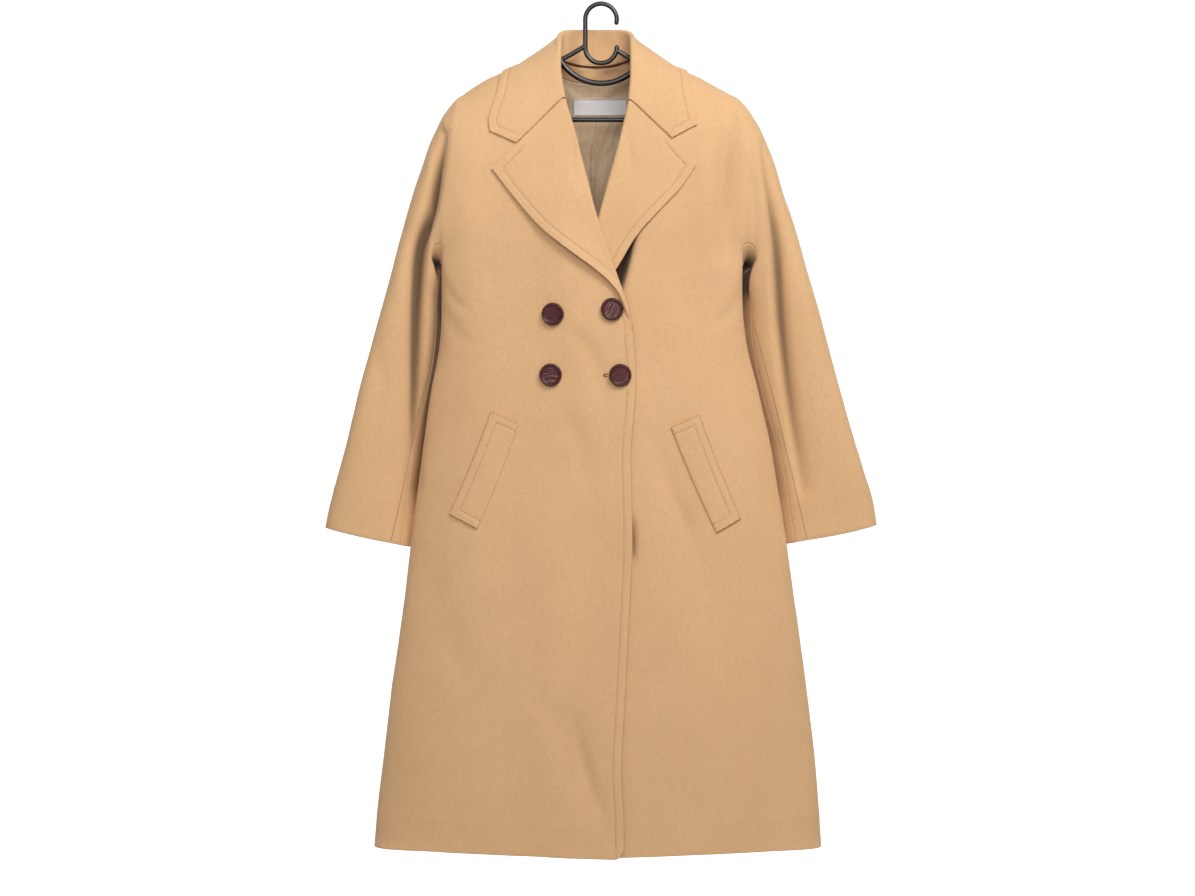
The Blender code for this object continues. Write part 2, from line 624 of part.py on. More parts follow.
def flap_section(tree, roll, across, outer, lift):
    """Outer points of one section through a folded-back flap, from inside the coat to its free edge."""
    base = roll + across * (ROLL_RADIUS - 0.2)
    middle = depth_at(tree, *base) + CLOTH / 2
    start = roll + across * ROLL_RADIUS
    inside = min(FACING_DEPTH, ROLL_RADIUS + 0.8 * max(np.dot(outer - start, across), 1.0))
    line = []
    for reach in (inside, ROLL_RADIUS):
        spot = roll + across * reach
        line.append((spot[0], depth_at(tree, *spot) + CLOTH / 2 + ROLL_RADIUS, spot[1]))
    for angle in (45.0, 0.0, -45.0):
        turn = math.radians(angle)
        spot = roll + across * ROLL_RADIUS * (1 - math.cos(turn))
        line.append((spot[0], middle + ROLL_RADIUS * math.sin(turn), spot[1]))
    for share in np.linspace(0, 1, 8):
        spot = start + (outer - start) * share
        y = depth_at(tree, *spot) - LAYER_GAP - CLOTH
        if share == 0:
            y = min(y, middle - ROLL_RADIUS)
        line.append((spot[0], y - lift * share**2, spot[1]))
    return line


def collar_stations():
    """The collar's stations all the way round, from the wearer's right end to the left end."""
    left = []
    for row in COLLAR_RIGHT[4:-1][::-1]:
        mirrored = list(row)
        mirrored[0] = 360 - mirrored[0]
        for x in (1, 4, 7):
            mirrored[x] = 2 * COLLAR_MIRROR_X - mirrored[x]
        left.append(mirrored)
    end = [[360 + row[0], *row[1:]] for row in COLLAR_LEFT_END[::-1]]
    return np.array([list(row) for row in COLLAR_RIGHT] + left + end)


def collar(tree):
    """The collar: a stand that rises from the neck seam, a rolled fold and a fall over the shoulders."""
    stations = collar_stations()
    shares = np.linspace(0, 1, 33)
    rows = through(stations, shares)
    rolls = rows[:, 4:7]
    for row in rows:
        inside = float(smoothstep(-80.0, -100.0, row[6]))
        if inside:
            side, away = ("right", -3.0) if row[4] < COLLAR_MIRROR_X else ("left", 3.0)
            panel = depth_at(tree, edge_x(side, -1, row[6]) + away, row[6])
            row[5] += (panel + CLOTH / 2 - row[5]) * inside
    grid = []
    for i, row in enumerate(rows):
        along = unit(rolls[min(i + 1, len(rows) - 1)] - rolls[max(i - 1, 0)])
        turn = math.radians(row[0])
        out = np.array([-math.sin(turn), -math.cos(turn), 0.0])
        out = unit(out - along * np.dot(out, along))
        up = np.cross(along, out)
        centre = rolls[i]
        start = centre - out * ROLL_RADIUS
        line = [row[1:4], row[1:4] * 0.45 + start * 0.55]
        for angle in (90.0, 45.0, 0.0, -45.0, -90.0):
            bent = math.radians(angle)
            line.append(centre - out * ROLL_RADIUS * math.sin(bent) + up * ROLL_RADIUS * math.cos(bent))
        start = line[-1]
        edge = row[7:]
        side = "right" if i < len(rows) / 2 else "left"
        notch = np.array([NOTCH[side][0], start[1], NOTCH[side][1]])
        end_share = min(shares[i], 1 - shares[i]) * (len(stations) - 1)
        pull = float(1 - smoothstep(0, 1.2, end_share))
        bend = start + (edge - start) * 0.62
        bend = bend * (1 - pull) + notch * pull
        for t in (0.33, 0.67, 1.0):
            line.append(start + (bend - start) * t)
        for t in (0.5, 1.0):
            line.append(bend + (edge - bend) * t)
        grid.append(line)
    grid = np.array(grid)
    settle(tree, grid, 6, CLOTH + 2 * LAYER_GAP)
    half = len(rows) // 2
    ends = (grid[: sum(rolls[:half, 2] < COLLAR_INSIDE_Z)], grid[-sum(rolls[half:, 2] < COLLAR_INSIDE_Z) :])
    for end in ends:
        settle(tree, end, 0, 2 * CLOTH + 2 * LAYER_GAP, -1, 2)
    return grid_shell("collar", grid, (0, 0, 1), CLOTH, "wool")


def settle(tree, grid, first, distance, sign=1, last=None):
    """Moves a grid's columns off a surface until every quad, not only its corners, is this far away."""
    spots = [(0, 0), (0.5, 0), (0, 0.5), (0.5, 0.5), (1, 0.5), (0.5, 1), (1, 1), (1, 0), (0, 1)]
    last = grid.shape[1] - 1 if last is None else last
    for _ in range(8):
        push = np.zeros_like(grid)
        for r in range(grid.shape[0] - 1):
            for c in range(first, last):
                for a, b in spots:
                    low = grid[r, c] * (1 - b) + grid[r, c + 1] * b
                    high = grid[r + 1, c] * (1 - b) + grid[r + 1, c + 1] * b
                    spot = Vector(low * (1 - a) + high * a)
                    near, normal, _, _ = tree.find_nearest(spot)
                    short = distance - sign * (spot - near).dot(normal)
                    if short <= 0 or (spot - near).length > 3 * distance:
                        continue
                    move = np.array(normal) * short * sign
                    for i, j in ((r, c), (r, c + 1), (r + 1, c), (r + 1, c + 1)):
                        if np.dot(move, move) > np.dot(push[i, j], push[i, j]):
                            push[i, j] = move
        if not push.any():
            break
        grid += push


def unit(v):
    return v / max(np.linalg.norm(v), 1e-9)


def pocket_welt(side, tree):
    """A pocket welt, laid on its front."""
    top_out, top_in, low_in, low_out = (np.array(p) for p in WELT[side])
    grid = []
    for v in np.linspace(0, 1, 9):
        bow = math.sin(math.pi * v) * 2.0 * (1 if side == "right" else -1)
        line = []
        for u in np.linspace(0, 1, 4):
            spot = (top_out * (1 - u) + top_in * u) * (1 - v) + (low_out * (1 - u) + low_in * u) * v
            spot[0] += bow
            line.append((spot[0], depth_at(tree, *spot) - LAYER_GAP - WELT_THICK, spot[1]))
        grid.append(line)
    grid = np.array(grid)
    settle(tree, grid, 0, WELT_THICK + LAYER_GAP)
    return grid_shell("pocket_welt_" + side, grid, (0, -1, 0), WELT_THICK, "wool", gap=0.0)


def button(number, x, z, tree):
    """A turned button with its shank, standing on the overlapping front."""
    points, faces = [], []
    profile = BUTTON_PROFILE
    for radius, height in profile[1:-1]:
        for i in range(BUTTON_FACETS):
            angle = 2 * math.pi * i / BUTTON_FACETS
            points.append((radius * math.cos(angle), -height, radius * math.sin(angle)))
    rings = len(profile) - 2
    foot, tip = len(points), len(points) + 1
    points += [(0, -profile[0][1], 0), (0, -profile[-1][1], 0)]
    for r in range(rings - 1):
        for i in range(BUTTON_FACETS):
            j = (i + 1) % BUTTON_FACETS
            a, b = r * BUTTON_FACETS, (r + 1) * BUTTON_FACETS
            faces.append((a + i, a + j, b + j, b + i))
    last = (rings - 1) * BUTTON_FACETS
    for i in range(BUTTON_FACETS):
        j = (i + 1) % BUTTON_FACETS
        faces.append((foot, j, i))
        faces.append((tip, last + i, last + j))
    made = make_object(f"button_{number}", points, faces, "button")
    seat, normal, _, _ = tree.ray_cast(Vector((x, -500, z)), Vector((0, 1, 0)))
    made.location = (seat + normal * SHANK_GAP) * MM
    made.rotation_euler = Vector((0, -1, 0)).rotation_difference(normal).to_euler()
    return made


def inside_back(tree, x, z, inset):
    """A point of a sheet that lies inside the back, this far in from the back's inner face."""
    spot = np.array([x, depth_at(tree, x, z, facing=1) - CLOTH - inset, z])
    for _ in range(4):
        near, normal, _, _ = tree.find_nearest(Vector(spot))
        depth = (near - Vector(spot)).dot(normal)
        spot[1] -= max(0.0, CLOTH + inset - depth)
    return tuple(spot)


def facing_edge(turn, inset):
    """Lower edge of the neck facing, from one shoulder (0) to the other (1)."""
    angle = math.radians(22 + 136 * turn)
    width = NECK_WIDTH + 18 + inset
    return np.array([COLLAR_MIRROR_X - width * math.cos(angle), -78 - (29 + inset) * math.sin(angle)])


def neck_facing(tree):
    """The cloth facing inside the back neck, between the collar seam and the lining."""
    grid = []
    for turn in np.linspace(0, 1, 13):
        low = facing_edge(turn, 0)
        angle = math.radians(22 + 136 * turn)
        high = np.array([COLLAR_MIRROR_X - (NECK_WIDTH - 6) * math.cos(angle), -76 - 11.5 * math.sin(angle)])
        line = []
        for t in np.linspace(0, 1, 4):
            x, z = low + (high - low) * t
            line.append(inside_back(tree, x, z, SEAM_GAP + FACING_THICK))
        grid.append(line)
    grid = np.array(grid)
    settle(tree, grid, 0, CLOTH + FACING_THICK + 0.45, -1)
    return grid_shell("neck_facing", grid, (0, -1, 0), FACING_THICK, "wool")


def back_lining(tree):
    """The lining of the upper back, as far as the neck shows it."""
    grid = []
    for turn in np.linspace(0, 1, 15):
        high = facing_edge(turn, 0.5)
        low = np.array([CENTRE_X - 150 * math.cos(math.radians(15 + 150 * turn)), LINING_FOOT_Z])
        line = []
        for t in np.linspace(0, 1, 9):
            x, z = high + (low - high) * t
            line.append(inside_back(tree, x, z, LAYER_GAP + 1.0 + LINING))
        grid.append(line)
    grid = np.array(grid)
    settle(tree, grid, 0, CLOTH + LINING + LAYER_GAP + 0.3, -1)
    return grid_shell("back_lining", grid, (0, -1, 0), LINING, "lining")


def neck_label(tree):
    """The blank label sewn to the lining below the neck."""
    grid = []
    for z in np.linspace(LABEL["bottom_z"], LABEL["top_z"], 3):
        line = []
        for x in np.linspace(LABEL["left_x"], LABEL["right_x"], 7):
            inset = LAYER_GAP + 1.0 + LINING + 1.0 + LABEL["thick"]
            line.append(inside_back(tree, x, z, inset))
        grid.append(line)
    return grid_shell("neck_label", np.array(grid), (0, -1, 0), LABEL["thick"], "label", gap=0.0)


def rod(name, path, radius, sides=8):
    """A round rod along a path of x, z points in the hanger's plane."""
    path = np.array(path, float)
    points, faces = [], []
    for i, spot in enumerate(path):
        along = path[min(i + 1, len(path) - 1)] - path[max(i - 1, 0)]
        across = unit(np.array([-along[1], along[0]]))
        for k in range(sides):
            angle = 2 * math.pi * (k + 0.5) / sides
            x, z = spot + across * radius * math.cos(angle)
            points.append((x, radius * math.sin(angle), z))
    for i in range(len(path) - 1):
        for k in range(sides):
            j = (k + 1) % sides
            faces.append((i * sides + k, i * sides + j, (i + 1) * sides + j, (i + 1) * sides + k))
    faces.append(tuple(range(sides))[::-1])
    last = (len(path) - 1) * sides
    faces.append(tuple(range(last, last + sides)))
    return make_object(name, points, faces, "plastic")


def arc(centre, radius, first, last, steps):
    """Points of an arc in the x, z plane, angles in degrees."""
    angles = np.radians(np.linspace(first, last, steps + 1))
    return np.stack([centre[0] + radius * np.cos(angles), centre[1] + radius * np.sin(angles)], -1)


def hanger():
    """The moulded hanger: hook, neck loop, arms, bottom bar and the bow under the neck, as one solid."""
    h = HANGER
    radius = h["hook_radius"]
    hook_centre = (0.0, -radius + h["rod"])
    neck = (0.0, h["neck_z"])
    hook = list(arc(hook_centre, radius, h["hook_end"], 180, 14)) + list(arc(neck, radius, 180, 360, 12))
    body = rod("hanger", hook, h["rod"])
    loop = [*ARM_RIGHT, *ARM_LEFT[::-1]]
    half = math.degrees(math.acos((h["bow_centre_z"] - h["bow_end_z"]) / h["bow_radius"]))
    bow = arc((0, h["bow_centre_z"]), h["bow_radius"], 270 - half, 270 + half, 14)
    for word, path, width in (("arms", loop, h["rod"]), ("bow", bow, h["bow_rod"])):
        part = rod("hanger_" + word + "_guide", path, width)
        part.hide_render = True
        part.display_type = "WIRE"
        union = body.modifiers.new(word, "BOOLEAN")
        union.operation = "UNION"
        union.solver = "EXACT"
        union.object = part
    return body


def build():
    for old in list(bpy.data.objects):
        bpy.data.objects.remove(old)
    bm, layer, names = coat_surface()
    cut_pieces(bm, layer, names)
    trees = {}
    for side in ("right", "left"):
        trees[side] = tree_of(bm, layer, {names.index("front_" + side)})
    whole = tree_of(bm, layer, None)
    back = tree_of(bm, layer, {names.index("back_right"), names.index("back_left")})
    for side in ("right", "left"):
        lapel(side, trees[side])
        pocket_welt(side, trees[side])
    collar(whole)
    for number, (x, z) in enumerate(BUTTONS, 1):
        button(number, x, z, trees["right"])
    neck_facing(back)
    back_lining(back)
    neck_label(back)
    hanger()
    bm.free()


build()
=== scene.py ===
"""Looks of a double-breasted wool overcoat with cut-on sleeves on a plastic hanger.

Lengths are in millimetres until a mesh is made. +X is the viewer's right, the front faces -Y and +Z is
up. The origin is the inside of the hanger's hook. "right" and "left" are the wearer's.
"""

import math
from types import SimpleNamespace

import bpy
import numpy as np
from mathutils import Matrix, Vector, noise
from mathutils.bvhtree import BVHTree


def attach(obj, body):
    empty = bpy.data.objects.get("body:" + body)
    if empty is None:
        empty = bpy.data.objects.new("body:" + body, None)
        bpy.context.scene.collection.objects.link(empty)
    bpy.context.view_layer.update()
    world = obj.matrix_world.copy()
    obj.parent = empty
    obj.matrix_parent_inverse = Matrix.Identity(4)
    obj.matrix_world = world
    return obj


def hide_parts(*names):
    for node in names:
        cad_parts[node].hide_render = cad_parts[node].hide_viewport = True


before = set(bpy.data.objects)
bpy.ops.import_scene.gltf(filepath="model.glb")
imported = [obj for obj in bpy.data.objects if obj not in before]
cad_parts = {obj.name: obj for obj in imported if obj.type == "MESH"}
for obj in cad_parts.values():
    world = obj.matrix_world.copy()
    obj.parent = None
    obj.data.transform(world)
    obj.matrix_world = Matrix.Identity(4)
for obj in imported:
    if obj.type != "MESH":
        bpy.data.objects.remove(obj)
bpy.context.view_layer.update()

MM = 0.001
CLOTH = 2.5
LINING = 1.5
FACING_THICK = 2.0
SEAM_GAP = 0.3
LAYER_GAP = 0.5
WELD = 0.05

SIDES = ("right", "left")
# Which way each side lies along X.
SIGN = {"right": -1, "left": 1}
CENTRE_X = -4.4
CENTRE_BACK_X = -6.0
POWER = 2.5
ARMHOLE_DEPTH = 50.0
CORNER = 0.78
CHEST_DEPTH = 52.0
ARMPIT_BLEND = 180.0
# Behind the armpit the sleeve hugs the body, this far from it.
ARMPIT_GAP = 0.8
HEM_SIDE_Z = -1217.0
HEM_CENTRE_Z = -1226.0
HEM_HALF_WIDTH = 290.0
# How far the overlapping front stands out over the other.
OVERLAP_LIFT = 11.5

# Levels of the body: z, right_x, left_x, half depth in front, half depth behind.
BODY = [
    (-1230, -329.5, 320.5, 62, 64),
    (-1130, -320.5, 313.3, 61, 62),
    (-1056, -312, 306, 60, 60),
    (-948, -297.5, 293, 58, 57),
    (-839, -283, 277, 56, 54),
    (-765, -274.5, 266.5, 55, 52),
    (-700, -265.5, 256.5, 54, 50),
    (-633, -256.5, 245, 54, 49),
    (-571, -248.5, 231, 54, 48),
    (-515, -239.5, 219, 53, 48),
    (-455, -232.5, 209.5, 52, 48),
    (-400, -231, 205, 51, 49),
    (-340, -230.5, 204.5, 50, 50),
]

# Rings of each sleeve from the armhole to the cuff: outer_x, outer_z (overarm), inner_x, inner_z
# (underarm), half depth, depth of the ring's middle, and how far the inner side leans back.
SLEEVE = {"right": [
    (-207, -134, -230.5, -381, 50, 0, 0),
    (-218.5, -146.5, -232.6, -374, 49.6, 0.2, 0.2),
    (-228.2, -160, -236.4, -371.5, 49.2, 0.6, 0.8),
    (-237.3, -178, -240.4, -374, 48.6, 1.4, 2),
    (-247.5, -200, -242.6, -382, 48, 2.5, 4),
    (-256.5, -226, -242.4, -394, 47, 4, 7),
    (-270, -266, -239, -413, 45, 8, 12),
    (-285.5, -322, -233, -446, 41, 12, 18),
    (-302, -382, -231.5, -484, 38, 14, 21),
    (-317.5, -440, -235, -524, 36, 14, 21),
    (-333.5, -498.5, -242, -567, 35, 14, 20),
    (-349.3, -556.5, -249.5, -612, 34, 14, 19),
    (-364, -614.5, -257.5, -656, 33, 13.5, 18),
    (-379, -672, -265.5, -702, 32, 13, 16),
    (-391.5, -718, -274.5, -745, 31.5, 12, 13),
    (-399.5, -756, -285.5, -784.5, 31, 11, 10),
], "left": [
    (198, -134, 204.5, -381, 50, 0, 0),
    (209.5, -146, 207.4, -373.6, 49.6, 0.2, 0.2),
    (219, -160, 212.4, -370.8, 49.2, 0.6, 0.8),
    (229.3, -178, 217.6, -374, 48.6, 1.4, 2),
    (239.2, -200, 220.4, -382, 48, 2.5, 4),
    (249.6, -226, 220.6, -394, 47, 4, 7),
    (262.3, -266, 217, -413, 45, 8, 12),
    (280.5, -322, 211, -446, 41, 12, 18),
    (297, -382, 209, -484, 38, 14, 21),
    (314.5, -440, 214, -524, 36, 14, 21),
    (330.6, -498.5, 223.5, -567, 35, 14, 20),
    (346.6, -556.5, 236, -612, 34, 14, 19),
    (362.5, -614.5, 251.5, -656, 33, 13.5, 18),
    (379.7, -672, 265.5, -701, 32, 13, 16),
    (393.5, -715, 277.5, -742, 31.5, 12, 13),
    (400, -752, 287, -780.5, 31, 11, 10),
]}

# Shoulder line from the neck point to the shoulder point: x and z.
SHOULDER = {
    "right": [(-62.5, -68), (-110, -83.5), (-155, -101), (-185, -118), (-207, -134)],
    "left": [(47, -67), (92, -83.5), (136, -101), (174, -120.5), (198, -134)],
}

# Front edge and roll line, from the hem up to the neck point: z and x.
EDGE = {"right": [
    (-1230, 32.3), (-1170, 32.3), (-1120, 29.3), (-998, 34), (-857, 41), (-773, 44.4),
    (-707, 43.2), (-642, 42.3), (-577, 48), (-533, 49.2), (-489, 46.3), (-460, 43),
    (-430, 36), (-409, 28.4), (-359, 10.6), (-304.5, -7.2), (-242.5, -22.9), (-180.7, -38.7),
    (-140.6, -50.4), (-98.7, -56.7), (-68, -59),
], "left": [
    (-1230, -40), (-900, -39), (-700, -38), (-500, -38), (-440, -37), (-380, -23.5),
    (-308, -3.8), (-257, 10.2), (-206, 24.2), (-174.5, 32), (-143.6, 38.4), (-105, 41.5),
    (-67, 43.4),
]}

# Where each lapel's seam with the collar meets the roll line, where it breaks, its notch and its lift.
GORGE_Z = {"right": -140.6, "left": -143.6}
BREAK_Z = {"right": -427, "left": -444.0}
NOTCH = {"right": (-121.1, -206.2), "left": (101.8, -198.8)}
LAPEL_LIFT = {"right": (1, 8), "left": (0.5, 2.5)}

# Collar stations from the front end of the right half to the back centre: where the stand faces as an
# angle from the front, then x, y, z of its foot, of the middle of the rolled fold and of the free edge.
COLLAR_RIGHT = [
    (0, -61.8, -39, -140.6, -54.8, -43.2, -140.2, -159.5, -50, -188.8),
    (18, -62.5, -27, -101, -61.2, -35.5, -101, -160.5, -42, -168),
    (55, -56.8, -14, -73.5, -61.2, -17, -62, -149, -30, -133),
    (90, -60.5, 3, -66.5, -60.9, 4, -46.5, -139.5, -4, -98),
    (122, -55, 18.6, -74.5, -55, 22, -36, -122, 38, -112),
    (155, -33.2, 30.8, -79.8, -35, 37, -31.5, -78, 54, -125),
    (180, -8, 34.6, -81.5, -8, 41.5, -31, -8, 57, -124),
]
COLLAR_MIRROR_X = -8.0
COLLAR_INSIDE_Z = -96.0
COLLAR_LEFT_END = [
    (0, 49.8, -39, -143.6, 42.8, -43.2, -143.2, 137.5, -50, -180),
    (-15, 49.5, -29, -104, 45.9, -35.5, -104, 135, -42, -160),
    (-55, 42.5, -14.5, -73.5, 45.9, -17, -62, 128, -30, -130),
    (-90, 45, 3, -65.5, 45.4, 4, -46.5, 122, -4, -98),
]
ROLL_RADIUS = 4.4
NECK_TUCK = 5.0
FACING_DEPTH = 11.0

NECK_WIDTH = 51.0
NECK_DEPTH = 38.0
NECK_SIDE_Z = {"right": -68.0, "left": -67.0}
NECK_BACK_Z = -84.0
# The neck facing: where it starts and how far it goes round, in degrees, then the middle's height, half
# width and height of its lower and upper edges.
FACING_START = 22.0
FACING_SWEEP = 136.0
FACING_LOW = (-78.0, NECK_WIDTH + 18.0, 29.0)
FACING_HIGH = (-76.0, NECK_WIDTH - 6.0, 11.5)

# Pocket welts: the four corners x, z in order top outer, top inner, bottom inner, bottom outer.
WELT = {
    "right": [(-157.2, -588.0), (-117.0, -606.0), (-176.8, -756.2), (-217.7, -735.0)],
    "left": [(140.3, -592.8), (99.4, -610.7), (164.8, -762.2), (200.7, -741.6)],
}
WELT_THICK = 2.6

# Buttons: x and z on the overlapping front. Each stands square to the cloth on its shank.
BUTTONS = [(-68.0, -450.0), (15.5, -443.5), (-71.5, -536.5), (27.0, -537.0)]
SHANK_GAP = 0.45

LABEL = {"left_x": -41.5, "right_x": 39.5, "top_z": -128.5, "bottom_z": -154.0, "thick": 0.9}
LINING_FOOT_Z = -450.0

HANGER = {
    "rod": 3.5, "bow_rod": 4.2, "hook_radius": 22.8, "hook_end": -12.0, "neck_z": -60.0,
    "bow_radius": 69.0, "bow_centre_z": -43.0, "bow_end_z": -80.5,
}
# The hanger's arms from the neck loop to the bar: x and z. The shoulders rest on them.
ARM_RIGHT = [
    (-22.8, -58), (-58, -77.5), (-120, -100), (-180, -123.2), (-195, -133), (-202, -144),
    (-201, -157), (-193, -164),
]
ARM_LEFT = [
    (23.2, -64.5), (50, -79), (110, -101), (165, -123.3), (184, -134), (192, -145),
    (191, -157), (183, -164),
]

STITCH_IN = 12.0
STITCH_LENGTH = 3.6
STITCH_PITCH = 5.0
STITCH_WIDTH = 0.85
STITCH_SIDES = 6
# The seam down each sleeve's front, a thin strip painted dark as the shade in its groove: its path in x and z,
# its width and how far it stands out.
SEAM_SHADE_PATH = {
    "right": [
        (-249, -530), (-258, -557), (-270, -614), (-280, -663), (-290, -712), (-297, -746), (-304, -775),
    ],
    "left": [
        (213, -428), (227, -483), (242, -538), (257, -599), (272, -657), (284, -711), (292, -751),
        (298, -772),
    ],
}
SEAM_WIDTH = 1.1
SEAM_RISE = 0.22
SEAM_STEP = 3.0
# Share of its thickness by which a wall's edge draws in at a seam.
SEAM_PULL = 0.36
HEM_TURN = 46.0
CUFF_TURN = 58.0
FRONT_FACING = 95.0
HEM_CORNER = 15.0
SMOOTHING = 110
BUTTON_RINGS = 26
# Which way each button's carved streaks run, in degrees.
BUTTON_LEAN = (20.0, 55.0, 12.0, 62.0)
BUTTON_STEPS = 84
# Radius and height of the button's shank, back and side.
BUTTON_BACK = [
    (2.6, 0.0), (2.6, 1.3), (2.8, 2.4), (6.0, 2.5), (12.0, 2.6), (14.4, 2.9), (15.6, 3.8), (16.0, 4.6),
]
# Rounded edge of a wall: how far in the edge's ring sits and how deep, as shares of the thickness.
RIM = ((0.1, 0.16), (0.03, 0.5), (0.1, 0.84))

# How finely each way of the coat's surface, of the collar and of a lapel is drawn.
GRID = {"side_columns": 10, "upper_rows": 60, "ring_step": 0.16}
ROWS = np.concatenate([np.linspace(0, 0.03, 9), np.linspace(0.03, 1, 170)[1:]])
SHARES = np.concatenate([np.linspace(0, 0.9, 56), np.linspace(0.9, 1, 27)[1:]])
STAND_COLUMNS = 9
ROLL_COLUMNS = 11
BEND_COLUMNS = 16
EDGE_COLUMNS = 26
FLAP_SHARES = np.concatenate([np.linspace(0, 0.72, 22), np.linspace(0.72, 1, 26)[1:]])
FLAP_ROWS = np.concatenate([np.linspace(0, 0.09, 22), np.linspace(0.09, 1, 84)[1:]])

# Folds of the front: path of x, z points, half width, depth (a trough is positive), steep side.
FOLDS = [
    (
        [(-226, -190), (-241, -295), (-257, -352), (-260, -420), (-262, -500), (-264, -600), (-267, -700)],
        13, 22, 1,
    ),
    ([(-222, -205), (-231, -250), (-238, -300)], 8, 4),
    ([(-60, -640), (-22, -760), (-24, -900), (-30, -1010)], 38, 4),
    ([(-45, -1000), (-20, -1110), (5, -1190)], 22, 4),
    ([(-252, -800), (-225, -900), (-190, -985)], 26, 3),
    ([(-195, -170), (-200, -270), (-190, -420)], 26, -4),
    ([(234, -205), (248, -330), (253, -440), (266, -560), (288, -700)], 12, 15, -1),
    ([(183, -150), (181, -260), (176, -360)], 15, 8),
    ([(214, -250), (219, -300), (218, -350)], 8, 4),
    ([(152, -150), (150, -250), (160, -380)], 20, -4),
    ([(95, -600), (120, -720), (155, -840), (190, -960)], 34, 5),
    ([(70, -560), (75, -720), (65, -900)], 34, -4),
    ([(-228, -395), (-214, -425), (-196, -440)], 7, 2.8),
    ([(-230, -430), (-212, -470), (-188, -490)], 8, 2.6),
    ([(205, -400), (190, -440), (170, -460)], 8, 2.8),
    ([(72, -630), (100, -700), (132, -760)], 14, 3.6),
    ([(-40, -475), (-10, -515), (0, -570)], 12, 3),
    ([(-50, -590), (-30, -640), (-20, -700)], 16, 3.4),
    ([(-38, -1030), (-18, -1100), (-2, -1160)], 7, 3.4),
    ([(-100, -980), (-60, -1040), (-45, -1110)], 16, 2.6),
    ([(-330, -470), (-318, -540), (-330, -640)], 16, 2.5),
    ([(330, -470), (322, -560), (338, -650)], 16, 2.5),
    ([(-300, -330), (-290, -420), (-305, -520)], 14, -2),
    ([(296, -330), (294, -430), (312, -540)], 14, -2),
]
# Folds of the back.
BACK_FOLDS = [
    ([(-240, -190), (-252, -290), (-262, -420), (-270, -560)], 14, 8),
    ([(236, -200), (250, -300), (258, -420), (270, -560)], 14, 8),
    ([(-150, -170), (-165, -280), (-150, -420)], 26, 4),
    ([(150, -170), (160, -290), (146, -430)], 26, 4),
    ([(-90, -480), (-110, -680), (-140, -900), (-160, -1130)], 36, 5),
    ([(80, -500), (110, -720), (130, -940), (150, -1150)], 36, 5),
    ([(-20, -200), (0, -360), (-14, -560)], 40, -3),
    ([(20, -640), (0, -860), (16, -1120)], 40, -4),
    ([(-220, -560), (-230, -760), (-250, -980)], 26, 3),
    ([(210, -560), (225, -760), (245, -980)], 26, 3),
]

# Each lapel's outer edge from its tip to where it ends in the front edge: x and z, at
# these shares of the roll line, which runs down to the given height.
LAPEL_EDGES = {
    "right": [
        (-156.4, -242.5), (-124.3, -284), (-86.8, -327), (-48.4, -358), (-7.7, -388),
        (13, -406), (27, -424.5), (35, -444), (40.5, -458), (45, -471),
    ],
    "left": [
        (135.9, -238), (112, -272), (78.5, -307), (48.3, -342.5), (21, -387), (-5, -416),
        (-22, -446),
    ],
}
LAPEL_SHARES = {
    "right": [0, 0.14, 0.29, 0.44, 0.62, 0.73, 0.82, 0.90, 0.95, 1.0],
    "left": np.linspace(0, 1, 7),
}
LAPEL_FOOT_Z = {"right": -473, "left": -444.0}

# Creases of the lapels and of the lining inside the back neck.
LAPEL_FOLDS = [
    ([(-38, -196), (-41, -225), (-40, -252)], 6, 2.2),
    ([(-68, -286), (-57, -252), (-48, -225)], 6, 1.6),
    ([(28, -170), (40, -215), (44, -260)], 7, 1.6),
]
LINING_FOLDS = [
    ([(-34, -172), (-24, -192), (-12, -222)], 3, 2.8),
    ([(16, -168), (6, -196), (-4, -232)], 3, 2.8),
    ([(30, -166), (20, -188), (10, -212)], 2.8, 2.2),
    ([(-22, -168), (-21, -186), (-17, -206)], 2.6, 1.8),
    ([(2, -215), (-6, -250), (-8, -290)], 4, 2.2),
    ([(-46, -110), (-30, -124), (-14, -132)], 3, 1.8),
    ([(34, -106), (24, -120), (10, -130)], 3, 1.8),
]

# Soft unevenness of the hanging cloth: size, seed and height.
CLOTH_WAVES = [(52.0, 3.0, 1.3), (19.0, 9.0, 0.35)]
# How steep a tuck's steep side is, beside its other side, how much painted shade a deep tuck gets and from
# which depths on.
TUCK_STEEP = 0.5
TUCK_SHADE = 0.78
TUCK_SHADED = (4.0, 17.0)
# Where the under front sinks beside its lapel's lower end and beside the front edge, with painted shade where
# it sinks.
WEDGE = [
    ([(45, -330), (40, -349), (33, -376), (26, -403), (21, -424)], 14.0, 16.0, 1),
    ([(46, -740), (47.5, -775), (46.5, -806)], 6.0, 6.0, 1),
]
# How much painted shade darkens the sleeve's edge beside the body, under each arm.
JUNCTION_SHADE = {"right": 0.85, "left": 0.4}
JUNCTION_WIDTH = 12.0
# The painted shade of the hollow under each arm: x, z and half size in x and z.
HOLLOWS = [(-243, -380, 9, 15), (214, -392, 10, 26)]

WOOL_LIGHT = (0.80, 0.50, 0.262)
WOOL_DARK = (0.69, 0.415, 0.205)
WOOL_DEEP = (0.60, 0.34, 0.16)
WOOL_SHADE = (0.045, 0.02, 0.01)
LINING_LIGHT = (0.74, 0.52, 0.32)
LINING_DARK = (0.52, 0.36, 0.21)
WORLD_LIGHT = 0.29
WALL_GLOW = 0.95
# The backdrop: its floor, the curve behind it, and where its even glow begins and is full.
FLOOR_Z = -1560.0
FLOOR_HALF = 7000.0
CURVE_Y = 3700.0
CURVE_RADIUS = 900.0
WALL_TOP_Z = 5200.0
GLOW_Y = (700.0, 1150.0)
